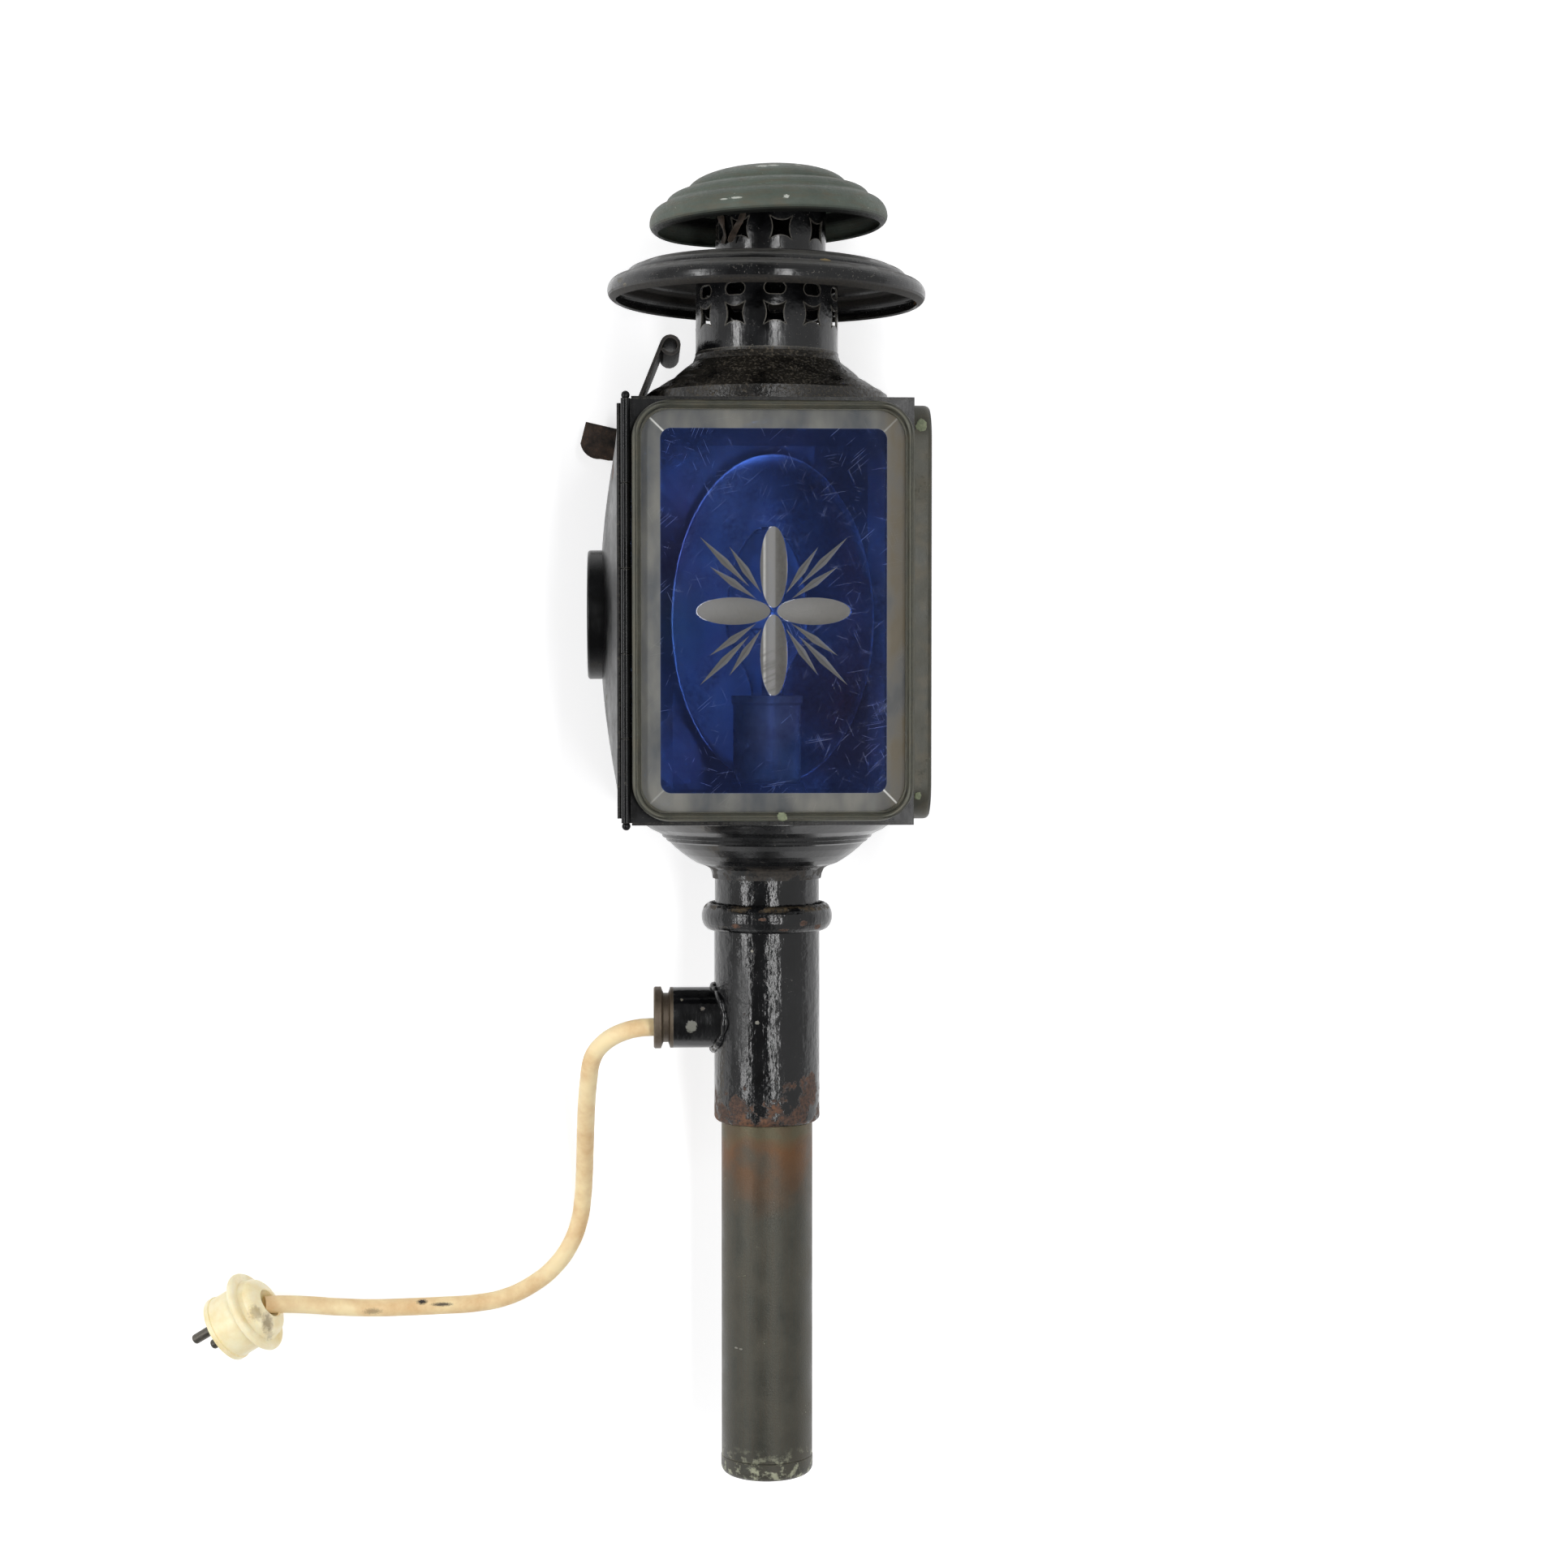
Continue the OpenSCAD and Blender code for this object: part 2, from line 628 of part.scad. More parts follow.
module star_cuts() {
    near = 1;
    spread = 10.3;
    for (turn = [0, 180]) {
        rotate([0, 0, turn]) olive_cut(near, petal_wide, petal_w, cut_depth);
        rotate([0, 0, 90 + turn]) olive_cut(near, petal_tall, petal_w, cut_depth);
    }
    for (turn = [45:90:315]) {
        rotate([0, 0, turn]) vee_cut(13, ray_long, ray_w);
        for (s = [-1, 1]) rotate([0, 0, turn + s * spread]) vee_cut(8, ray_short, ray_w);
    }
}

// A bevelled pane cut with a star, lying in plan with its outer face up: its edge is under the moulding,
// and its bevel starts where the moulding's lip ends
module pane(w, h) difference() {
    seat = bezel_w + pane_gap - pane_side;
    shown_w = w - 2 * seat;
    shown_h = h - 2 * seat;
    union() {
        round_plate(w, h, bezel_corner - pane_side, pane_edge);
        intersection() {
            round_plate(shown_w, shown_h, bezel_corner - bezel_w - pane_gap, pane_t);
            translate([0, h / 2, 0]) rotate([90, 0, 0]) linear_extrude(h) bevel_section(shown_w);
            translate([-w / 2, 0, 0]) rotate([90, 0, 90]) linear_extrude(w) bevel_section(shown_h);
        }
    }
    translate([0, 0, pane_t]) star_cuts();
}

module bevel_section(w) polygon([
    [-w / 2, 0], [w / 2, 0], [w / 2, pane_edge],
    [w / 2 - bevel_w, pane_t], [bevel_w - w / 2, pane_t], [-w / 2, pane_edge]
]);

module front_pane() color(glass_blue) lie() on_front()
    pane(case_w - 2 * (bezel_side + pane_side), bezel_h - 2 * pane_side);

module side_pane() color(glass_blue) lie() on_right()
    pane(case_d - 2 * (bezel_side + pane_side), bezel_h - 2 * pane_side);

// Door frame: a folded rim with an inner flange, and the knuckles that turn on the hinge pin
module door_frame() color(black) lie() {
    lip = 8;
    difference() {
        union() {
            difference() {
                translate([-panel_q, door_front, z_mid - door_h / 2]) cube([door_rim, door_w, door_h]);
                translate([-panel_q - over, door_front + sheet, z_mid - door_h / 2 + sheet])
                    cube([door_rim - sheet + over, door_w - 2 * sheet, door_h - 2 * sheet]);
                translate([-panel_q - over, door_front + lip, z_mid - door_h / 2 + lip])
                    cube([door_rim + 2 * over, door_w - 2 * lip, door_h - 2 * lip]);
            }
            for (i = [1:2:knuckles - 1]) barrel(i) {
                cylinder(r = knuckle_r, h = knuckle_h);
                translate([-knuckle_r, 0, 0]) cube([knuckle_r, door_front - hinge_y + sheet / 2, knuckle_h]);
            }
        }
        knuckle_bore();
    }
}

module door_panel() color("#77797a") lie() difference() {
    on_left() translate([-door_mid, 0, panel_q]) pillow(door_w, door_h, dome_rise, sheet);
    translate([-panel_q, door_mid, z_mid]) rotate([0, -90, 0])
        cylinder(r = ring_r + solder, h = 2 * dome_rise);
}

module door_reflector() color(silver) lie() {
    inset = sheet + 0.2;
    translate([-door_q - sheet - reflector_t, door_front + inset, z_mid - door_h / 2 + inset]) difference() {
        cube([reflector_t, door_w - 2 * inset, door_h - 2 * inset]);
        translate([-over, door_w / 2 - inset, door_h / 2 - inset]) rotate([0, 90, 0])
            cylinder(r = ring_r - ring_wall, h = reflector_t + 2 * over);
    }
}

// Shapes spun round the bull's-eye axis, in radius and distance from the lamp axis
module round_lens() translate([0, door_mid, z_mid]) rotate([0, -90, 0]) rotate_extrude() children();

module lens_ring() color(bronze) lie() round_lens() {
    root = apex_q - dome_rise * 0.55;
    fold = 1.2;
    polygon(concat(
        [[ring_r, root]],
        arc([ring_r - fold, ring_q - fold], fold, fold, 0, 90, 5),
        [
            [ring_r - ring_wall - ring_lip, ring_q], [ring_r - ring_wall - ring_lip, ring_q - 1],
            [ring_r - ring_wall, ring_q - 1], [ring_r - ring_wall, root]
        ]
    ));
}

module bulls_eye() color("#8e1f22") lie() round_lens() {
    face = ring_q - 1 - solder;
    belly = 5;
    polygon(concat(
        [[0, face]],
        arc([0, face - lens_t], lens_r - 3, belly, -90, 0, 9),
        [[lens_r, face - lens_t], [lens_r, face]]
    ));
}

module lens_clip() color(steel) lie() round_lens() {
    wire = 1.2;
    translate([ring_r - ring_wall - wire, ring_q - 1 - lens_t - wire - 2 * solder])
        circle(r = wire - solder, $fn = 32);
}

// Hinge pin with ball ends, each cut flat where it meets the barrel
module hinge_pin() color(black) lie() translate([-hinge_q, hinge_y, z_mid]) {
    ball = 1.7;
    translate([0, 0, -barrel_h / 2]) cylinder(r = hinge_pin_d / 2, h = barrel_h);
    for (s = [0, 1]) mirror([0, 0, s]) translate([0, 0, barrel_h / 2]) intersection() {
        translate([0, 0, 1.2]) sphere(r = ball);
        translate([-ball, -ball, 0]) cube(2 * ball + 1);
    }
}

// A bent strip on the back edge of the door, with one rounded corner
module door_pull() color(steel) lie() {
    t = 1.2;
    top = z_mid + door_h / 2 + 2.8;
    round = 8;
    root = panel_q - 3.4;
    tip = panel_q + pull_out;
    translate([0, door_back + t, top]) rotate([90, 0, 0]) linear_extrude(t) polygon(concat(
        [[-root, -4], [-panel_q - 3, -2.7], [-tip, 0]],
        arc([2.5 + round - tip - 5, round - pull_h - 1], round, round, 190, 275, 8),
        [[-panel_q - 5.2, -pull_h - 1.6], [-root, -pull_h - 1.6]]
    ));
}

// Catch: a foot on the top plate and a leaning spring leaf whose end is curled
catch_x = -roof_d / 2 - 0.5;
catch_base = z_top + strip_t;
module strip(path) translate([0, catch_w / 2, 0]) rotate([90, 0, 0]) linear_extrude(catch_w)
    polygon(sheet_outline(path, strip_t));

module catch_foot() color(steel) lie() translate([-case_x + 0.3, -catch_w / 2, z_top])
    cube([case_x - 0.3 + catch_x, catch_w, strip_t]);

catch_gap = 0.5;
catch_root = catch_x - 1.6 - strip_t;
function catch_path() = let (
    lift = catch_base + catch_gap,
    rise = catch_h - strip_t - catch_gap - curl_r + curl_r * sin(catch_lean),
    tip = [catch_root + rise * tan(catch_lean), lift + rise],
    eye = tip + curl_r * [cos(catch_lean), -sin(catch_lean)]
) concat([[catch_root, lift]], arc(eye, curl_r, curl_r, 180 - catch_lean, -130 - catch_lean, 14));

module catch_leaf() color(steel) lie() strip(reversed(catch_path()));

module catch_rivets() color(steel) lie() for (y = [-1, 1])
    translate([-case_x + 1.5, y * catch_w / 3, z_top + strip_t]) intersection() {
        translate([0, 0, -0.8]) sphere(r = 1.4);
        translate([-2, -2, 0]) cube(4);
    }

// Dish: a lip round the neck, a bowl, two small steps and a flared rim under the case,
// as shares of the dish's overhang and of its height
dish_profile = [
    [0, 0], [0.01, 0.08], [0.04, 0.165], [0.08, 0.2], [0.13, 0.225], [0.22, 0.265],
    [0.31, 0.335], [0.4, 0.415], [0.51, 0.53], [0.575, 0.615], [0.615, 0.64], [0.625, 0.68],
    [0.67, 0.705], [0.682, 0.75], [0.83, 0.84], [0.98, 0.97], [1, 0.985], [1, 1]
];
function dish_path() = let (r = neck_r + solder + flue_t)
    [for (p = dish_profile) [r + p[0] * (dish_d / 2 - r), p[1] * dish_h]];

module bottom_dish() color(black) lie() translate([0, 0, z_dish]) spun(dish_path(), flue_t);

// Neck: the length that shows, and a spigot inside the stem's mouth
module neck() color(black) lie() {
    spigot = 8;
    low = z_bead + neck_seat - spigot;
    high = z_dish + dish_h / 3 - low;
    fit = stem_in - solder;
    bore = fit - neck_wall;
    translate([0, 0, low]) rotate_extrude() polygon([
        [bore, 0], [fit, 0], [fit, spigot], [neck_r, spigot], [neck_r, high], [bore, high]
    ]);
}

// Stem: foot rolled in to guide the tube, straight wall, and a bead open at its lip
function stem_path() = concat(
    [[guide_r, 0]],
    arc([stem_r - foot_roll, foot_roll], foot_roll, foot_roll, -90, 0, 6),
    arc([stem_r + bead_out * 0.2, stem_h - bead_h / 2], bead_out * 0.8, bead_h / 2, -105, 75, 14)
);

module stem() color(black) lie() difference() {
    translate([0, 0, z_foot]) spun(stem_path(), stem_wall);
    translate([-stem_r - over, 0, z_branch]) rotate([0, 90, 0])
        cylinder(r = branch_d / 2 + solder, h = stem_r);
}

// Branch: a short tube let into the stem's side
module branch() color(black) lie() translate([-branch_reach, 0, z_branch]) rotate([0, 90, 0])
    tube(branch_d / 2, branch_wall, branch_reach - stem_in * 0.8);

module gland() color(brass) lie() translate([-branch_reach, 0, z_branch]) rotate([0, -90, 0]) {
    r = branch_d / 2;
    groove = r - 2.4;
    fit = r - branch_wall - solder;
    spigot = 6;
    difference() {
        rotate_extrude() polygon([
            [0, -spigot], [fit, -spigot], [fit, 0], [r, 0], [r, 1.2], [groove, 2], [groove, gland_len - 4],
            [r + 0.2, gland_len - 3], [r + 0.2, gland_len - 0.5], [r - 0.3, gland_len], [0, gland_len]
        ]);
        translate([-flex_drop, 0, -spigot - over])
            cylinder(r = flex_r + solder, h = spigot + gland_len + 2 * over);
    }
}

// Ring inside the stem that steadies the top of the candle tube
module tube_guide() color(brass) lie() {
    ring_h = 5;
    translate([0, 0, z_foot + tube_hold - ring_h - 1]) difference() {
        cylinder(r = stem_in - solder, h = ring_h);
        translate([0, 0, -over]) cylinder(r = guide_r, h = ring_h + 2 * over);
    }
}

// Candle tube: the length that shows, and a spigot a hair smaller inside the stem
module candle_tube() color(brass) lie() {
    shoulder = 0.4;
    difference() {
        union() {
            translate([0, 0, end_cap_h]) cylinder(r = tube_r, h = z_foot - shoulder - end_cap_h);
            translate([0, 0, z_foot - shoulder - over])
                cylinder(r = spigot_r, h = tube_hold + shoulder + over);
        }
        translate([0, 0, -over]) cylinder(r = tube_r - tube_wall, h = z_foot + tube_hold + 2 * over);
    }
}

// End cap: a shallow cup with a rounded edge, and a sleeve that goes up inside the tube
module tube_cap() color(bronze) lie() {
    r = tube_r + end_bead;
    sleeve_r = tube_r - tube_wall - solder;
    wall = 0.9;
    fold = 3.5;
    sleeve_h = 4;
    rotate_extrude() polygon(concat(
        [[0, 0]],
        arc([r - fold, fold], fold, fold, -90, 0, 6),
        [[r, end_cap_h - 0.6], [r - 0.6, end_cap_h], [sleeve_r, end_cap_h], [sleeve_r, end_cap_h + sleeve_h]],
        [[sleeve_r - wall, end_cap_h + sleeve_h], [sleeve_r - wall, fold], [r - fold - 0.5, wall], [0, wall]]
    ));
}

// Stepped base under the lampholder
module socket_base() color(brass) lie() translate([0, 0, socket_z]) {
    bore = nipple_r + solder;
    foot = holder_r + 10;
    rotate_extrude() polygon([
        [bore, 0], [foot, 0], [foot, 2], [foot - 4, 3.4], [foot - 5.5, base_h * 0.55],
        [holder_r + 1, base_h - 1.5], [holder_r + 1, base_h], [bore, base_h]
    ]);
}

module lampholder() color("#3b3630") lie() translate([0, 0, holder_z]) {
    r = holder_r;
    rim = r + 0.8;
    rotate_extrude() polygon(concat(
        [[nipple_r + solder, 0], [r - 2, 0]],
        arc([r - 2, 2], 2, 2, -90, 0, 4),
        [[r, holder_h - 4], [rim, holder_h - 3], [rim, holder_h], [r - 1, holder_h]],
        [[r - 1, holder_floor], [nipple_r + solder, holder_floor]]
    ));
}

module holder_core() color("#d8d2c2") lie() translate([0, 0, core_z]) {
    r = holder_r - 1 - solder;
    bore = bulb_cap_d / 2 + 0.25;
    seat = bulb_z - core_z - 0.3;
    high = holder_h - 5;
    rotate_extrude() polygon([
        [nipple_bore, 0], [r, 0], [r, high], [bore, high], [bore, seat], [nipple_bore, seat]
    ]);
}

module bulb_cap() color(silver) lie() translate([0, 0, bulb_z]) {
    r = bulb_cap_d / 2;
    high = glass_z - bulb_z;
    rotate_extrude() polygon([
        [0, 0], [3, 0], [3.6, 1.5], [r, 4], [r, high], [r - cap_skin, high], [r - cap_skin, 8], [0, 8]
    ]);
}

function bulb_path() = let (
    neck = bulb_cap_d / 2 - cap_skin - solder,
    r = bulb_d / 2,
    low = bulb_len * 0.42
) concat(
    [[neck, -8]],
    [for (i = [0:7]) let (t = i / 7) [neck + (r - neck) * (1 - cos(180 * t)) / 2, low * t]],
    arc([0, low], r, bulb_len - low, 12, 90, 10)
);

module bulb_glass() color("#dfe6ea") lie() translate([0, 0, glass_z]) spun(bulb_path(), 0.7);

// Glass stem, support wires and a looped filament
module filament() color("#b8bcc0") lie() translate([0, 0, glass_z]) {
    wire = 0.4;
    loop = 6;
    stem_h_in = bulb_len * 0.3;
    translate([0, 0, -8 + solder]) cylinder(r = bulb_cap_d / 2 - 1.4, h = 2);
    translate([0, 0, -6.5]) cylinder(r = 2.2, h = stem_h_in + 6.5);
    for (s = [-1, 1]) translate([s * 1.2, 0, stem_h_in - 1]) rotate([0, s * 35, 0])
        cylinder(r = wire, h = 9.2);
    translate([0, 0, stem_h_in + 6.4]) rotate_extrude() translate([loop, 0]) circle(r = wire, $fn = 24);
}

module nipple() color(brass) lie() translate([0, 0, z_case - nut_h - 2])
    tube(nipple_r, nipple_r - nipple_bore, holder_z + holder_floor - z_case + nut_h + 2);

module nipple_nut() color(brass) lie() translate([0, 0, z_case - nut_h]) difference() {
    cylinder(r = nipple_r + 3.4, h = nut_h, $fn = 6);
    translate([0, 0, -over]) cylinder(r = nipple_r + solder, h = nut_h + 2 * over);
}

// Flex inside the lamp: in through the gland, round an elbow and up to the nipple
module inner_flex() color(cream) lie() {
    bend = 14;
    low = z_branch - flex_drop;
    high = z_case - nut_h - 2 - solder;
    translate([-branch_reach - gland_len, 0, low]) rotate([0, 90, 0])
        cylinder(r = flex_r, h = branch_reach + gland_len - bend);
    translate([-bend, 0, low + bend]) rotate([90, 0, 0]) rotate([0, 0, -90])
        rotate_extrude(angle = 90) translate([bend, 0]) circle(r = flex_r);
    translate([0, 0, low + bend]) cylinder(r = flex_r, h = high - low - bend);
}

// A tube swept along a list of points, its rings held square to the run
function heading(path, i) = unit(path[min(i + 1, len(path) - 1)] - path[max(i - 1, 0)]);
function ring(path, i, r, n) = let (
    d = heading(path, i),
    side = unit(cross(d, [0, 0, 1] + [0.001, 0, 0])),
    rise = cross(side, d)
) [for (k = [0:n - 1]) path[i] + r * (side * cos(360 * k / n) + rise * sin(360 * k / n))];

module swept(path, r, n) {
    last = len(path) - 1;
    points = [for (i = [0:last]) each ring(path, i, r, n)];
    walls = [for (i = [0:last - 1], k = [0:n - 1])
        let (a = i * n + k, b = i * n + (k + 1) % n) each [[a, a + n, b], [b, a + n, b + n]]];
    polyhedron(points, concat([[for (k = [0:n - 1]) k]], walls, [[for (k = [n - 1:-1:0]) last * n + k]]));
}

module cord() color(cream) swept(cord_route, cord_rest, cord_sides);

// Plug, drawn with its pins along +z from the middle of its flange
module place_plug() translate(plug_place) rotate([0, 90 + plug_tilt, plug_turn])
    rotate([0, 0, pin_turn]) children();

flange_t = 3.4;
module plug_base() color(cream) place_plug() difference() {
    rotate_extrude() polygon([
        [0, flange_t / 2], [plug_base_d / 2 - 0.6, flange_t / 2], [plug_base_d / 2 - 0.6, plug_body - 2.2],
        [plug_base_d / 2, plug_body - 2], [plug_base_d / 2, plug_body], [0, plug_body]
    ]);
    for (s = [-1, 1]) translate([s * plug_pin_gap / 2, 0, plug_body - pin_root])
        cylinder(r = plug_pin_d / 2, h = pin_root + over);
}

module plug_cover() color(cream) place_plug() rotate_extrude() {
    r = plug_flange_d / 2;
    boss = 13.2;
    mouth = 6.3;
    tall = 8;
    polygon(concat(
        [[0, flange_t / 2]],
        arc([r - flange_t / 2, 0], flange_t / 2, flange_t / 2, 90, -90, 8),
        [[boss + 1, -flange_t / 2]],
        arc([boss - 4.5, -tall + 4.5], 4.5, 4, 0, -70, 5),
        [[mouth + 0.6, -tall - 0.3], [mouth, -tall], [mouth, -flange_t / 2], [0, -flange_t / 2]]
    ));
}

module plug_pins() color(steel) place_plug() {
    r = plug_pin_d / 2;
    high = plug_pin_len + pin_root;
    for (s = [-1, 1]) translate([s * plug_pin_gap / 2, 0, plug_body - pin_root]) rotate_extrude()
        polygon(concat([[0, 0], [r, 0]], arc([r - 1.2, high - 1.2], 1.2, 1.2, 0, 90, 4), [[0, high]]));
}

chimney_cap();
upper_gallery();
hood();
lower_gallery();
roof();
top_plate();
case_shell();
floor_plate();
back_panel();
back_reflector();
front_bezel();
side_bezel();
front_pane();
side_pane();
door_frame();
door_panel();
door_reflector();
hinge_pin();
lens_ring();
bulls_eye();
lens_clip();
door_pull();
catch_foot();
catch_leaf();
catch_rivets();
bottom_dish();
neck();
stem();
branch();
gland();
tube_guide();
candle_tube();
tube_cap();
socket_base();
lampholder();
holder_core();
bulb_cap();
bulb_glass();
filament();
nipple();
nipple_nut();
inner_flex();
cord();
plug_base();
plug_cover();
plug_pins();
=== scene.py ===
# Carriage lantern, converted to mains light and laid on its back
import math
import bmesh
import bpy
from mathutils import Matrix, Vector


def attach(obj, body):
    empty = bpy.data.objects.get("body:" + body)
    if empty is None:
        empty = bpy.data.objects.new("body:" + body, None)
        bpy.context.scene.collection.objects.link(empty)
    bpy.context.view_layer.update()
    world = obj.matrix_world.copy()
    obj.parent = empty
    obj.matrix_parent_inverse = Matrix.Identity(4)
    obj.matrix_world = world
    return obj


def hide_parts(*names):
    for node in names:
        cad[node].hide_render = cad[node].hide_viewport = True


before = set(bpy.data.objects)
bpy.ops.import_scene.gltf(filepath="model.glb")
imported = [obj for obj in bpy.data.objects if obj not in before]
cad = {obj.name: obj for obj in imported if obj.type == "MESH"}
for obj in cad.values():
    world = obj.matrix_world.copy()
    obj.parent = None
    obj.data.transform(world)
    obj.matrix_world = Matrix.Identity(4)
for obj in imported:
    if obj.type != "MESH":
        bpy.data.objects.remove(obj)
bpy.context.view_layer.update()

scene = bpy.context.scene
scene.view_settings.view_transform = "Standard"
mm = 0.001
bpy.ops.object.select_all(action="DESELECT")

# Camera, straight above the lamp and a little to its left
shot = {"eye": (-52.5, -28.3, 1222.3), "turn": 2.95, "pitch": 2.06, "focalPixels": 3445, "framePixels": 1932,
        "sensor": 36, "near": 0.05}
turn, pitch = math.radians(shot["turn"]), math.radians(shot["pitch"])
downLook = Vector((math.sin(turn), 0, -math.cos(turn)))
right = Vector((math.cos(turn), 0, math.sin(turn)))
lampAxis = Vector((0, 1, 0))
look = downLook * math.cos(pitch) - lampAxis * math.sin(pitch)
up = lampAxis * math.cos(pitch) + downLook * math.sin(pitch)
bpy.ops.object.camera_add()
camera = bpy.context.object
camera.name = "camera"
camera.matrix_world = Matrix.Translation(Vector(shot["eye"]) * mm) @ Matrix((right, up, -look)).transposed().to_4x4()
camera.data.sensor_width = shot["sensor"]
camera.data.lens = shot["sensor"] * shot["focalPixels"] / shot["framePixels"]
camera.data.clip_start = shot["near"]
scene.camera = camera
print("camera set")

# Flex from the gland to the plug, in millimetres
flexLay = {
    "diameter": 7.5,
    "length": 0.2828,  # metres
    "ringSteps": 6,
    "runSteps": 10,
    "route": [
        (-47, -170.75, 65.5), (-48, -170.75, 65.5), (-53.74, -171.25, 65.08), (-59.18, -172.74, 63.85),
        (-64.05, -175.12, 61.86), (-68.09, -178.3, 59.23), (-71.11, -182.08, 56.08), (-72.94, -186.3, 52.57),
        (-74.4, -195.5, 44.9), (-75.4, -206.5, 35.9), (-76, -218, 26.7), (-76.5, -230, 17.9), (-77, -242, 10.6),
        (-77.8, -253, 5.8), (-79.2, -262.5, 3.9), (-83, -273, 3.8), (-90.5, -283.5, 3.8), (-100, -291, 3.8),
        (-111.7, -296.5, 3.8), (-125, -299, 3.8), (-139.5, -299.8, 3.8), (-154, -300.3, 3.8), (-169.5, -300.5, 4),
        (-184, -299.4, 6.3), (-196.5, -297.5, 10.2), (-206.5, -296, 15), (-214.5, -295.5, 18),
    ],
}
flexCurve = bpy.data.curves.new("flex", "CURVE")
flexCurve.dimensions = "3D"
flexCurve.bevel_depth = flexLay["diameter"] / 2  # times the radius of each point
flexCurve.bevel_resolution = flexLay["ringSteps"]
flexCurve.resolution_u = flexLay["runSteps"]
flexCurve.use_fill_caps = True
spline = flexCurve.splines.new("BEZIER")
spline.bezier_points.add(len(flexLay["route"]) - 1)
for point, place in zip(spline.bezier_points, flexLay["route"]):
    point.co = Vector(place) * mm
    point.radius = mm
    point.handle_left_type = point.handle_right_type = "AUTO"
flex = bpy.data.objects.new("flex", flexCurve)
scene.collection.objects.link(flex)
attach(flex, "lantern")
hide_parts("cord")
print("flex laid")


# A hex colour as linear red, green, blue and full alpha
def linear(code):
    parts = [int(code[i:i + 2], 16) / 255 for i in (1, 3, 5)]
    return [p / 12.92 if p <= 0.04045 else ((p + 0.055) / 1.055) ** 2.4 for p in parts] + [1]


# Adds a shader node: inputs by number or name, each a value, a hex colour or a socket to link
def addNode(tree, kind, inputs=(), **settings):
    node = tree.nodes.new("ShaderNode" + kind)
    for name, value in settings.items():
        setattr(node, name, value)
    for name, value in inputs.items() if isinstance(inputs, dict) else enumerate(inputs):
        if isinstance(value, bpy.types.NodeSocket):
            tree.links.new(value, node.inputs[name])
        else:
            node.inputs[name].default_value = linear(value) if isinstance(value, str) else value
    return next(out for out in node.outputs if out.enabled)


# A new material with its tree, its shader and its coordinates; pattern scales are 1000 / size in millimetres
def startFinish(name):
    finish = bpy.data.materials.new(name)
    finish.use_nodes = True
    tree = finish.node_tree
    return finish, tree, tree.nodes["Principled BSDF"], addNode(tree, "TexCoord").node.outputs["Object"]


# How sharply the surface turns within a radius: 0 on flats, 1 on edges
def edges(tree, radius):
    rounded = addNode(tree, "Bevel", {"Radius": radius * mm}, samples=4)
    straight = addNode(tree, "NewGeometry").node.outputs["Normal"]
    same = addNode(tree, "VectorMath", (rounded, straight), operation="DOT_PRODUCT")
    return addNode(tree, "MapRange", (same, 0.99, 0.88))


# A ragged patch of the given half sizes round a point: 1 inside, 0 outside
def patch(tree, place, at, half, rag=1.5, soft=0.12):
    half = [h * mm for h in half]
    away = addNode(tree, "VectorMath", (place, [a * mm for a in at]), operation="SUBTRACT")
    away = addNode(tree, "VectorMath", (away, half), operation="DIVIDE")
    away = addNode(tree, "VectorMath", (away,), operation="LENGTH")
    ragged = addNode(tree, "TexNoise", {"Vector": place, "Scale": 1.6 / min(half), "Detail": 4.0, "Roughness": 0.6})
    away = addNode(tree, "Math", (ragged, rag, away), operation="MULTIPLY_ADD")
    return addNode(tree, "MapRange", (away, 1 + rag / 2 + soft, 1 + rag / 2 - soft))


# Distance in metres outside a rectangle with round corners, drawn on a pane laid flat
def outside(tree, laid, half, corner):
    folded = addNode(tree, "VectorMath", (laid,), operation="ABSOLUTE")
    past = addNode(tree, "VectorMath", (folded, [(h - corner) * mm for h in half] + [0]), operation="SUBTRACT")
    past = addNode(tree, "VectorMath", (past, (1, 1, 0)), operation="MULTIPLY")
    over = addNode(tree, "VectorMath", (past, (0, 0, 0)), operation="MAXIMUM")
    reach = addNode(tree, "VectorMath", (over,), operation="LENGTH")
    parts = addNode(tree, "SeparateXYZ", (past,)).node.outputs
    inner = addNode(tree, "Math", (parts[0], parts[1]), operation="MAXIMUM")
    inner = addNode(tree, "Math", (inner, 0.0), operation="MINIMUM")
    both = addNode(tree, "Math", (reach, inner), operation="ADD")
    return addNode(tree, "Math", (both, corner * mm), operation="SUBTRACT")


def paint(piece, finish):
    piece.data.materials.clear()
    piece.data.materials.append(finish)


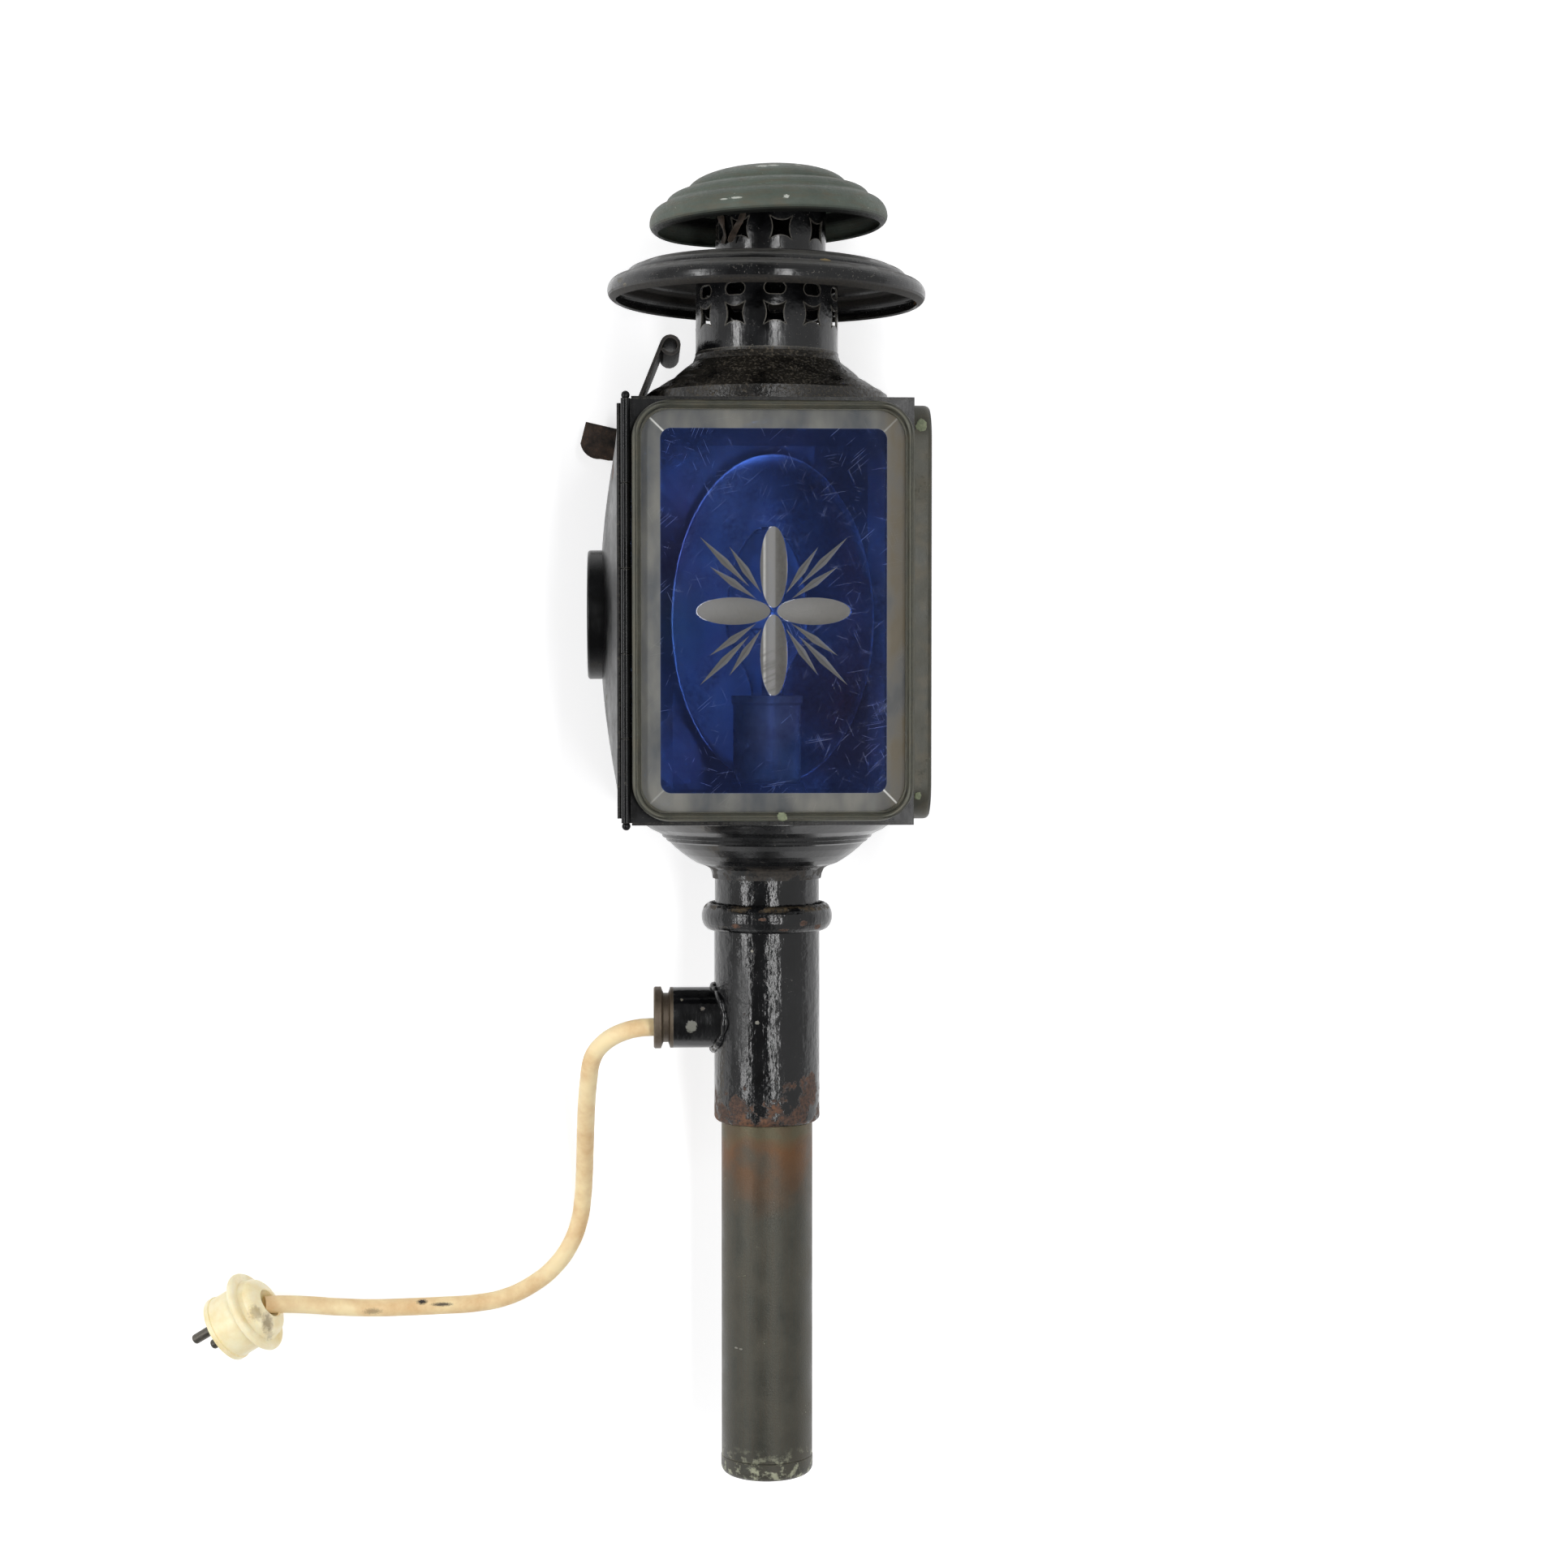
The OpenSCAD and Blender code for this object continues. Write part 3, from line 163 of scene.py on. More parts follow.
# Japanned tinplate: black varnish put on by brush, glossy over lumps and runs, chipped to grey tin and rust
def japannedTin(name, wear):
    finish, tree, shader, place = startFinish(name)
    patches = addNode(tree, "TexNoise", {"Vector": place, "Scale": 1000 / 16, "Detail": 4.0, "Roughness": 0.6})
    specks = addNode(tree, "TexNoise", {"Vector": place, "Scale": 1000 / wear.get("speck", 1.2), "Detail": 4.0,
                                        "Roughness": 0.7})
    lumps = addNode(tree, "TexNoise", {"Vector": place, "Scale": 1000 / wear.get("lump", 5), "Detail": 2.0})
    drawn = addNode(tree, "Mapping", {"Vector": place, "Scale": [1000 / s for s in wear.get("run", (2.4, 24, 2.4))]})
    runs = addNode(tree, "TexNoise", {"Vector": drawn, "Scale": 1.0, "Detail": 2.0})
    cloud = addNode(tree, "MapRange", (patches, 0.35, 0.7))
    colour = addNode(tree, "Mix", {0: cloud, 6: wear.get("deep", "#050506"), 7: wear.get("pale", "#121315")},
                     data_type="RGBA")
    speckFrom, bareFrom, rimFrom = wear.get("speckFrom", 0.63), wear.get("bareFrom", 0.52), wear.get("rimFrom", 0.42)
    chips = addNode(tree, "MapRange", (specks, speckFrom, speckFrom + 0.04))
    bare = addNode(tree, "MapRange", (patches, bareFrom, bareFrom + 0.12))
    chips = addNode(tree, "Math", (chips, bare), operation="MULTIPLY")
    colour = addNode(tree, "Mix", {0: chips, 6: colour, 7: wear.get("chip", "#55514a")}, data_type="RGBA")
    rim = addNode(tree, "MapRange", (specks, rimFrom, rimFrom + 0.16))
    rim = addNode(tree, "Math", (rim, edges(tree, wear.get("rim", 0.6))), operation="MULTIPLY")
    rim = addNode(tree, "Math", (rim, wear.get("rimShare", 0.6)), operation="MULTIPLY")
    colour = addNode(tree, "Mix", {0: rim, 6: colour, 7: wear.get("rimColour", "#4c4b47")}, data_type="RGBA")
    worn = addNode(tree, "Math", (chips, rim), operation="MAXIMUM")
    mottle = addNode(tree, "MapRange", (specks, 0.35, 0.65))
    rustColour = addNode(tree, "Mix", {0: mottle, 6: "#1a110d", 7: "#573c2d"}, data_type="RGBA")
    bloom = addNode(tree, "MapRange", (patches, 0.5, 0.62))
    rustColour = addNode(tree, "Mix", {0: addNode(tree, "Math", (bloom, mottle), operation="MULTIPLY"), 6: rustColour,
                                       7: "#714a2e"}, data_type="RGBA")
    blotch = addNode(tree, "TexNoise", {"Vector": place, "Scale": 1000 / 6.5, "Detail": 5.0, "Roughness": 0.65})
    along = addNode(tree, "SeparateXYZ", (place,)).node.outputs[1]
    if "rust" in wear:  # rust that thickens from low to high
        low, high = wear["rust"]
        level = addNode(tree, "MapRange", (along, low * mm, high * mm))
        level = addNode(tree, "Math", (level, 0.3, blotch), operation="MULTIPLY_ADD")
        level = addNode(tree, "MapRange", (level, 0.67, 0.74))
        colour = addNode(tree, "Mix", {0: level, 6: colour, 7: rustColour}, data_type="RGBA")
        worn = addNode(tree, "Math", (worn, level), operation="MAXIMUM")
    if "dry" in wear:  # a band where the varnish has gone dry and brown
        low, high = wear["dry"]
        wavy = addNode(tree, "Math", (blotch, 3 * mm, along), operation="MULTIPLY_ADD")
        start = addNode(tree, "MapRange", (wavy, (low + 1) * mm, (low + 2) * mm))
        stop = addNode(tree, "MapRange", (wavy, (high + 2) * mm, (high + 1) * mm))
        band = addNode(tree, "Math", (start, stop), operation="MULTIPLY")
        some = addNode(tree, "MapRange", (blotch, 0.46, 0.54))
        band = addNode(tree, "Math", (band, some), operation="MULTIPLY")
        dryColour = addNode(tree, "Mix", {0: mottle, 6: "#15120f", 7: wear["dryColour"]}, data_type="RGBA")
        colour = addNode(tree, "Mix", {0: band, 6: colour, 7: dryColour}, data_type="RGBA")
        worn = addNode(tree, "Math", (worn, band), operation="MAXIMUM")
    for at, half, spotColour in wear.get("spots", []):
        spot = patch(tree, place, at, half)
        colour = addNode(tree, "Mix", {0: spot, 6: colour, 7: spotColour or rustColour}, data_type="RGBA")
        worn = addNode(tree, "Math", (worn, spot), operation="MAXIMUM")
    normal = addNode(tree, "NewGeometry").node.outputs["Normal"]
    facing = addNode(tree, "SeparateXYZ", (normal,)).node.outputs[1]
    if "dust" in wear:  # grey scuffs on what faces up the lamp
        dust = addNode(tree, "MapRange", (facing, 0.45, 0.8))
        some = addNode(tree, "MapRange", (blotch, 0.35, 0.6, 0.25, 0.9))
        dust = addNode(tree, "Math", (dust, some), operation="MULTIPLY")
        colour = addNode(tree, "Mix", {0: dust, 6: colour, 7: wear["dust"]}, data_type="RGBA")
        worn = addNode(tree, "Math", (worn, dust), operation="MAXIMUM")
    if "under" in wear:  # the sooted side that faces down the lamp
        under = addNode(tree, "MapRange", (facing, -0.35, -0.65))
        soot = addNode(tree, "Mix", {0: mottle, 6: wear["under"], 7: "#2b2620"}, data_type="RGBA")
        colour = addNode(tree, "Mix", {0: under, 6: colour, 7: soot}, data_type="RGBA")
        worn = addNode(tree, "Math", (worn, under), operation="MAXIMUM")
    tree.links.new(colour, shader.inputs["Base Color"])
    gloss = addNode(tree, "MapRange", (patches, 0.35, 0.7, wear.get("gloss", 0.08), wear.get("dull", 0.22)))
    dulled = 0.0
    for at, half in wear.get("scrapes", []):  # flattened places that catch the light broadly
        dulled = addNode(tree, "Math", (patch(tree, place, at, half, 0.5, 0.3), dulled), operation="MAXIMUM")
    gloss = addNode(tree, "Math", (dulled, 0.22, gloss), operation="MULTIPLY_ADD")
    rough = addNode(tree, "Mix", {0: worn, 2: gloss, 3: 0.68})
    tree.links.new(rough, shader.inputs["Roughness"])
    shader.inputs["IOR"].default_value = 1.52
    shader.inputs["Specular IOR Level"].default_value = wear.get("shine", 0.5)
    height = addNode(tree, "Math", (runs, 0.5, lumps), operation="MULTIPLY_ADD")
    height = addNode(tree, "Math", (specks, 0.25, height), operation="MULTIPLY_ADD")
    height = addNode(tree, "Math", (worn, -0.35, height), operation="MULTIPLY_ADD")
    bump = addNode(tree, "Bump", {"Height": height, "Distance": wear.get("depth", 0.1) * mm})
    tree.links.new(bump, shader.inputs["Normal"])
    return finish


# Copper gone to a dull grey-green bloom, greener on its ridges, browner in its steps, chipped pale in places
def patinatedCopper(name, bloom):
    finish, tree, shader, place = startFinish(name)
    cloud = addNode(tree, "TexNoise", {"Vector": place, "Scale": 1000 / 22, "Detail": 5.0, "Roughness": 0.6})
    fine = addNode(tree, "TexNoise", {"Vector": place, "Scale": 1000 / 1.1, "Detail": 5.0, "Roughness": 0.65})
    drawn = addNode(tree, "Mapping", {"Vector": place, "Scale": (1000 / 9, 1000 / 2, 1000 / 9)})
    streak = addNode(tree, "TexNoise", {"Vector": drawn, "Scale": 1.0, "Detail": 4.0})
    colour = addNode(tree, "Mix", {0: addNode(tree, "MapRange", (cloud, 0.3, 0.7)), 6: bloom["deep"], 7: bloom["pale"]},
                     data_type="RGBA")
    dust = addNode(tree, "MapRange", (streak, 0.45, 0.7, 0.0, 0.65))
    colour = addNode(tree, "Mix", {0: dust, 6: colour, 7: bloom["dust"]}, data_type="RGBA")
    ridge = addNode(tree, "Math", (edges(tree, 1.8), addNode(tree, "MapRange", (fine, 0.3, 0.6))), operation="MULTIPLY")
    colour = addNode(tree, "Mix", {0: ridge, 6: colour, 7: bloom["ridge"]}, data_type="RGBA")
    chips = addNode(tree, "Math", (addNode(tree, "MapRange", (fine, 0.66, 0.69)),
                                   addNode(tree, "MapRange", (cloud, 0.5, 0.6))), operation="MULTIPLY")
    for at, half in bloom["chips"]:
        chips = addNode(tree, "Math", (chips, patch(tree, place, at, half, 2.6)), operation="MAXIMUM")
    colour = addNode(tree, "Mix", {0: chips, 6: colour, 7: bloom["chip"]}, data_type="RGBA")
    normal = addNode(tree, "NewGeometry").node.outputs["Normal"]
    facing = addNode(tree, "SeparateXYZ", (normal,)).node.outputs[1]
    under = addNode(tree, "MapRange", (facing, -0.4, -0.75))
    colour = addNode(tree, "Mix", {0: under, 6: colour, 7: bloom["under"]}, data_type="RGBA")
    tree.links.new(colour, shader.inputs["Base Color"])
    tree.links.new(addNode(tree, "MapRange", (fine, 0.3, 0.7, 0.42, 0.7)), shader.inputs["Roughness"])
    shader.inputs["Specular IOR Level"].default_value = 0.35
    height = addNode(tree, "Math", (cloud, 1.5, fine), operation="MULTIPLY_ADD")
    tree.links.new(addNode(tree, "Bump", {"Height": height, "Distance": 0.14 * mm}), shader.inputs["Normal"])
    return finish


# Old brass: olive-brown tarnish over yellow metal, with green salts, rubbed edges and darker lines in its mouldings
def tarnishedBrass(name, age):
    finish, tree, shader, place = startFinish(name)
    cloud = addNode(tree, "TexNoise", {"Vector": place, "Scale": 1000 / 14, "Detail": 5.0, "Roughness": 0.6})
    fine = addNode(tree, "TexNoise", {"Vector": place, "Scale": 1000 / 0.9, "Detail": 5.0, "Roughness": 0.65})
    drawn = addNode(tree, "Mapping", {"Vector": place, "Scale": [1000 / s for s in age.get("drawn", (0.5, 16, 0.5))]})
    streak = addNode(tree, "TexNoise", {"Vector": drawn, "Scale": 1.0, "Detail": 3.0})
    colour = addNode(tree, "Mix", {0: addNode(tree, "MapRange", (cloud, 0.3, 0.7)), 6: age["deep"], 7: age["pale"]},
                     data_type="RGBA")
    colour = addNode(tree, "Mix", {0: addNode(tree, "MapRange", (streak, 0.45, 0.7, 0.0, 0.35)), 6: colour,
                                   7: age["streak"]}, data_type="RGBA")
    along = addNode(tree, "SeparateXYZ", (place,)).node.outputs[1]
    for low, high, heatColour in age.get("heat", []):  # colours left by a flame, deeper from low to high
        wide = addNode(tree, "TexNoise", {"Vector": place, "Scale": 1000 / 13, "Detail": 3.0})
        level = addNode(tree, "Math", (wide, 14 * mm, along), operation="MULTIPLY_ADD")
        level = addNode(tree, "MapRange", (level, (low + 7) * mm, (high + 7) * mm))
        some = addNode(tree, "MapRange", (wide, 0.32, 0.58, 0.2, 0.85))
        warm = addNode(tree, "Math", (level, some), operation="MULTIPLY")
        colour = addNode(tree, "Mix", {0: warm, 6: colour, 7: heatColour}, data_type="RGBA")
    some = addNode(tree, "MapRange", (cloud, age.get("saltFrom", 0.54), 0.68))
    salts = addNode(tree, "Math", (addNode(tree, "MapRange", (fine, 0.58, 0.68)), some), operation="MULTIPLY")
    if "salt" in age:  # a crust of salts at one end
        low, high = age["salt"]
        level = addNode(tree, "MapRange", (along, low * mm, high * mm))
        lumpy = addNode(tree, "TexNoise", {"Vector": place, "Scale": 1000 / 4.5, "Detail": 5.0, "Roughness": 0.65})
        level = addNode(tree, "Math", (level, addNode(tree, "MapRange", (lumpy, 0.52, 0.62))), operation="MULTIPLY")
        salts = addNode(tree, "Math", (salts, level), operation="MAXIMUM")
    colour = addNode(tree, "Mix", {0: addNode(tree, "Math", (salts, age.get("saltShare", 0.5)), operation="MULTIPLY"),
                                   6: colour, 7: age["saltColour"]}, data_type="RGBA")
    height = addNode(tree, "Math", (fine, salts), operation="ADD")
    if "moulding" in age:
        lines = age["moulding"]
        laid = addNode(tree, "Mapping", {"Vector": place, "Rotation": (0, math.radians(lines["turn"]), 0),
                                         "Location": [s * mm for s in lines["shift"]]})
        reach = outside(tree, laid, lines["half"], lines["corner"])
        for at, wide, share in lines["lines"]:
            near = addNode(tree, "Math", (reach, at * mm), operation="SUBTRACT")
            near = addNode(tree, "Math", (near,), operation="ABSOLUTE")
            line = addNode(tree, "MapRange", (near, wide * mm, wide * 0.4 * mm, 0.0, share))
            colour = addNode(tree, "Mix", {0: line, 6: colour, 7: lines["colour"]}, data_type="RGBA")
            height = addNode(tree, "Math", (line, -1.6, height), operation="MULTIPLY_ADD")
    for at, half, spotColour in age.get("spots", []):
        colour = addNode(tree, "Mix", {0: patch(tree, place, at, half), 6: colour, 7: spotColour}, data_type="RGBA")
    rub = addNode(tree, "Math", (edges(tree, 0.5), addNode(tree, "MapRange", (fine, 0.4, 0.6, 0.0, 0.5))),
                  operation="MULTIPLY")
    colour = addNode(tree, "Mix", {0: rub, 6: colour, 7: age["rub"]}, data_type="RGBA")
    tree.links.new(colour, shader.inputs["Base Color"])
    tree.links.new(addNode(tree, "MapRange", (salts, 0.0, 1.0, age.get("metal", 0.7), 0.0)), shader.inputs["Metallic"])
    tree.links.new(addNode(tree, "MapRange", (cloud, 0.3, 0.7, age.get("gloss", 0.34), 0.55)),
                   shader.inputs["Roughness"])
    tree.links.new(addNode(tree, "Bump", {"Height": height, "Distance": age.get("depth", 0.08) * mm}),
                   shader.inputs["Normal"])
    return finish


# Rusted steel strip: brown-black scale with orange bloom, dry and pitted
def rustedSteel(name, rustiness):
    finish, tree, shader, place = startFinish(name)
    cloud = addNode(tree, "TexNoise", {"Vector": place, "Scale": 1000 / 6, "Detail": 5.0, "Roughness": 0.65})
    pits = addNode(tree, "TexNoise", {"Vector": place, "Scale": 1000 / 0.8, "Detail": 5.0, "Roughness": 0.7})
    colour = addNode(tree, "Mix", {0: addNode(tree, "MapRange", (cloud, 0.35, 0.68)), 6: rustiness["scale"],
                                   7: rustiness["brown"]}, data_type="RGBA")
    bloom = addNode(tree, "Math", (addNode(tree, "MapRange", (pits, 0.55, 0.68)),
                                   addNode(tree, "MapRange", (cloud, 0.45, 0.6))), operation="MULTIPLY")
    colour = addNode(tree, "Mix", {0: bloom, 6: colour, 7: rustiness["bloom"]}, data_type="RGBA")
    rub = addNode(tree, "Math", (edges(tree, 0.4), 0.45), operation="MULTIPLY")
    colour = addNode(tree, "Mix", {0: rub, 6: colour, 7: "#7d7468"}, data_type="RGBA")
    tree.links.new(colour, shader.inputs["Base Color"])
    tree.links.new(addNode(tree, "MapRange", (cloud, 0.3, 0.6, 0.5, 0.1)), shader.inputs["Metallic"])
    tree.links.new(addNode(tree, "MapRange", (pits, 0.2, 0.8, 0.32, 0.8)), shader.inputs["Roughness"])
    tree.links.new(addNode(tree, "Bump", {"Height": pits, "Distance": 0.15 * mm}), shader.inputs["Normal"])
    return finish


# Silvered sheet: a soft mirror with brown tarnish creeping over it
def silveredSheet(name, shine):
    finish, tree, shader, place = startFinish(name)
    cloud = addNode(tree, "TexNoise", {"Vector": place, "Scale": 1000 / 30, "Detail": 5.0, "Roughness": 0.6})
    fine = addNode(tree, "TexNoise", {"Vector": place, "Scale": 1000 / 2.5, "Detail": 4.0, "Roughness": 0.6})
    stain = addNode(tree, "Math", (addNode(tree, "MapRange", (cloud, 0.45, 0.7)),
                                   addNode(tree, "MapRange", (fine, 0.3, 0.7))), operation="MULTIPLY")
    colour = addNode(tree, "Mix", {0: stain, 6: shine["pale"], 7: shine["stain"]}, data_type="RGBA")
    tree.links.new(colour, shader.inputs["Base Color"])
    shader.inputs["Metallic"].default_value = 1.0
    tree.links.new(addNode(tree, "MapRange", (stain, 0.0, 1.0, shine["gloss"], 0.5)), shader.inputs["Roughness"])
    tree.links.new(addNode(tree, "Bump", {"Height": cloud, "Distance": 0.2 * mm}), shader.inputs["Normal"])
    return finish


# Flashed glass: a thin blue skin on a clear pane, cut through to polished grey in the star and ground off the bevel
def flashedGlass(name, pane):
    finish, tree, shader, place = startFinish(name)
    laid = addNode(tree, "Mapping", {"Vector": place, "Rotation": (0, math.radians(pane["turn"]), 0),
                                     "Location": [s * mm for s in pane["shift"]]})
    u, v, w = addNode(tree, "SeparateXYZ", (laid,)).node.outputs
    skin = addNode(tree, "MapRange", (w, -0.05 * mm, -0.03 * mm))
    back = addNode(tree, "MapRange", (w, -4.9 * mm, -5.1 * mm))  # the plain face inside the case
    reach = outside(tree, laid, pane["half"], pane["corner"])
    bevel = addNode(tree, "MapRange", (reach, -0.05 * mm, 0.08 * mm))
    cloud = addNode(tree, "TexNoise", {"Vector": laid, "Scale": 1000 / 34, "Detail": 3.0})
    veil = addNode(tree, "TexNoise", {"Vector": laid, "Scale": 1000 / 52, "Detail": 2.0, "Distortion": 0.6})
    fine = addNode(tree, "TexNoise", {"Vector": laid, "Scale": 1000 / 1.6, "Detail": 4.0, "Roughness": 0.6})
    # blue skin, with a violet cast in places and a paler edge
    blue = addNode(tree, "Mix", {0: addNode(tree, "MapRange", (cloud, 0.35, 0.65)), 6: pane["blue"],
                                 7: pane["brightBlue"]}, data_type="RGBA")
    blue = addNode(tree, "Mix", {0: addNode(tree, "MapRange", (veil, 0.5, 0.66, 0.0, 0.6)), 6: blue,
                                 7: pane["violet"]}, data_type="RGBA")
    for at, half, tint, share in pane.get("paintedLightZones", []):  # patches of lighter, darker and violet blue in given places: painted light, shade and reflections from the reflectors and lampholder behind the glass
        paintedLight = addNode(tree, "Math", (patch(tree, laid, at, half, 0.5, 0.7), share), operation="MULTIPLY")
        blue = addNode(tree, "Mix", {0: paintedLight, 6: blue, 7: tint}, data_type="RGBA")
    blue = addNode(tree, "Mix", {0: addNode(tree, "MapRange", (reach, -0.9 * mm, -0.1 * mm, 0.0, 0.3)), 6: blue,
                                 7: pane["edge"]}, data_type="RGBA")
    scratch = 0.0
    for spin, wide, long, low in pane["scratches"]:  # hairlines, drawn wider than real ones so that they show
        slid = addNode(tree, "Mapping", {"Vector": laid, "Rotation": (0, 0, math.radians(spin)),
                                         "Scale": (wide * mm, long * mm, 1)}, vector_type="TEXTURE")
        line = addNode(tree, "TexNoise", {"Vector": slid, "Scale": 1.0, "Detail": 0.0})
        line = addNode(tree, "MapRange", (line, low, low + 0.02))
        scratch = addNode(tree, "Math", (line, scratch), operation="MAXIMUM")
    rubbed = addNode(tree, "TexNoise", {"Vector": laid, "Scale": 1000 / 20, "Detail": 2.0})
    scratch = addNode(tree, "Math", (scratch, addNode(tree, "MapRange", (rubbed, 0.32, 0.58))), operation="MULTIPLY")
    seen = addNode(tree, "Math", (scratch, 0.34), operation="MULTIPLY")
    blue = addNode(tree, "Mix", {0: seen, 6: blue, 7: pane["scratch"]}, data_type="RGBA")
    haze = addNode(tree, "Math", (addNode(tree, "MapRange", (fine, 0.25, 0.75)),
                                  addNode(tree, "MapRange", (rubbed, 0.3, 0.7, 0.0, 0.12))), operation="MULTIPLY")
    blue = addNode(tree, "Mix", {0: haze, 6: blue, 7: pane["haze"]}, data_type="RGBA")
    # cut faces: painted reflection bands, bright at the left and right and darker between, across the upright petals,
    # streaks low down, an even grey in the rays
    across = addNode(tree, "MapRange", (u, -6.2 * mm, 6.2 * mm))
    paintedFacetBands = addNode(tree, "ValToRGB", (across,))
    ramp = paintedFacetBands.node.color_ramp
    ramp.elements[0].color, ramp.elements[1].color = linear(pane["paintedFacetBands"][0][1]), linear(pane["paintedFacetBands"][-1][1])
    for at, code in pane["paintedFacetBands"][1:-1]:
        ramp.elements.new(at).color = linear(code)
    petalU = addNode(tree, "Math", (u,), operation="ABSOLUTE")
    petalV = addNode(tree, "Math", (v,), operation="ABSOLUTE")
    upright = addNode(tree, "Math", (petalV, petalU), operation="SUBTRACT")
    upright = addNode(tree, "MapRange", (upright, -0.2 * mm, 0.4 * mm))
    narrow = addNode(tree, "MapRange", (petalU, 6.6 * mm, 6.3 * mm))
    upright = addNode(tree, "Math", (upright, narrow), operation="MULTIPLY")
    # lying petals: painted shading, darker at the bottom of each and lighter at its top
    paintedShadeAcross = addNode(tree, "MapRange", (v, -5.5 * mm, 5.5 * mm))
    lying = addNode(tree, "Mix", {0: paintedShadeAcross, 6: "#5a5852", 7: "#6b6a67"}, data_type="RGBA")
    ray = addNode(tree, "Math", (petalU, petalV), operation="MINIMUM")
    ray = addNode(tree, "MapRange", (ray, 5.4 * mm, 6.4 * mm))
    lying = addNode(tree, "Mix", {0: ray, 6: lying, 7: "#72716f"}, data_type="RGBA")
    cut = addNode(tree, "Mix", {0: upright, 6: lying, 7: paintedFacetBands}, data_type="RGBA")
    waved = addNode(tree, "Mapping", {"Vector": laid, "Rotation": (0, 0, math.radians(24)),
                                      "Scale": (18 * mm, 1.7 * mm, 1)}, vector_type="TEXTURE")
    wave = addNode(tree, "TexNoise", {"Vector": waved, "Scale": 1.0, "Detail": 3.0})
    low = addNode(tree, "MapRange", (v, -14 * mm, -18 * mm))
    low = addNode(tree, "Math", (low, addNode(tree, "MapRange", (wave, 0.45, 0.62, 0.0, 0.7))), operation="MULTIPLY")
    low = addNode(tree, "Math", (low, upright), operation="MULTIPLY")
    cut = addNode(tree, "Mix", {0: low, 6: cut, 7: "#4f4d49"}, data_type="RGBA")
    cut = addNode(tree, "Mix", {0: addNode(tree, "MapRange", (fine, 0.3, 0.7, 0.0, 0.25)), 6: cut, 7: "#7b7975"},
                  data_type="RGBA")
    # bevel: grey, browner to the right, with painted highlights along the mitres, strong at two corners and faint at
    # the other two
    ribbed = addNode(tree, "Mapping", {"Vector": laid, "Scale": (1000 / 14, 1000 / 30, 0.0)})
    tone = addNode(tree, "TexNoise", {"Vector": ribbed, "Scale": 1.0, "Detail": 3.0})
    ground = addNode(tree, "Mix", {0: addNode(tree, "MapRange", (tone, 0.35, 0.68)), 6: pane["ground"],
                                   7: pane["paleGround"]}, data_type="RGBA")
    warm = addNode(tree, "MapRange", (u, pane["half"][0] * 0.9 * mm, pane["half"][0] * 1.05 * mm))
    warm = addNode(tree, "Math", (warm, addNode(tree, "MapRange", (tone, 0.4, 0.6, 0.15, 0.75))), operation="MULTIPLY")
    ground = addNode(tree, "Mix", {0: warm, 6: ground, 7: pane["brownGround"]}, data_type="RGBA")
    slant = addNode(tree, "Math", (petalU, pane["half"][0] * mm), operation="SUBTRACT")
    climb = addNode(tree, "Math", (petalV, pane["half"][1] * mm), operation="SUBTRACT")
    paintedMitreGlint = addNode(tree, "Math", (slant, climb), operation="SUBTRACT")
    paintedMitreGlint = addNode(tree, "Math", (paintedMitreGlint,), operation="ABSOLUTE")
    paintedMitreGlint = addNode(tree, "MapRange", (paintedMitreGlint, 0.7 * mm, 0.2 * mm))
    sides = addNode(tree, "Math", (u, v), operation="MULTIPLY")
    sides = addNode(tree, "MapRange", (sides, 0.0, -1e-5, 0.25, 1.0))
    paintedMitreGlint = addNode(tree, "Math", (paintedMitreGlint, sides), operation="MULTIPLY")
    ground = addNode(tree, "Mix", {0: paintedMitreGlint, 6: ground, 7: pane["paintedMitreGlint"]}, data_type="RGBA")
    colour = addNode(tree, "Mix", {0: skin, 6: cut, 7: blue}, data_type="RGBA")
    colour = addNode(tree, "Mix", {0: bevel, 6: colour, 7: ground}, data_type="RGBA")
    colour = addNode(tree, "Mix", {0: back, 6: colour, 7: "#eef1f0"}, data_type="RGBA")
    tree.links.new(colour, shader.inputs["Base Color"])
    clear = addNode(tree, "Mix", {0: skin, 2: 0.22, 3: 0.96})
    clear = addNode(tree, "Math", (haze, -0.6, clear), operation="MULTIPLY_ADD")
    clear = addNode(tree, "Mix", {0: bevel, 2: clear, 3: 0.12})
    clear = addNode(tree, "Mix", {0: back, 2: clear, 3: 1.0})
    clear = addNode(tree, "Math", (scratch, -0.4, clear), operation="MULTIPLY_ADD", use_clamp=True)
    tree.links.new(clear, shader.inputs["Transmission Weight"])
    matt = addNode(tree, "Mix", {0: skin, 2: 0.42, 3: 0.04})
    matt = addNode(tree, "Mix", {0: bevel, 2: matt, 3: 0.06})
    matt = addNode(tree, "Mix", {0: back, 2: matt, 3: 0.02})
    matt = addNode(tree, "Math", (scratch, 0.3, matt), operation="MULTIPLY_ADD")
    tree.links.new(matt, shader.inputs["Roughness"])
    shader.inputs["IOR"].default_value = 1.52
    tree.links.new(addNode(tree, "Bump", {"Height": veil, "Distance": 0.12 * mm}), shader.inputs["Normal"])
    return finish


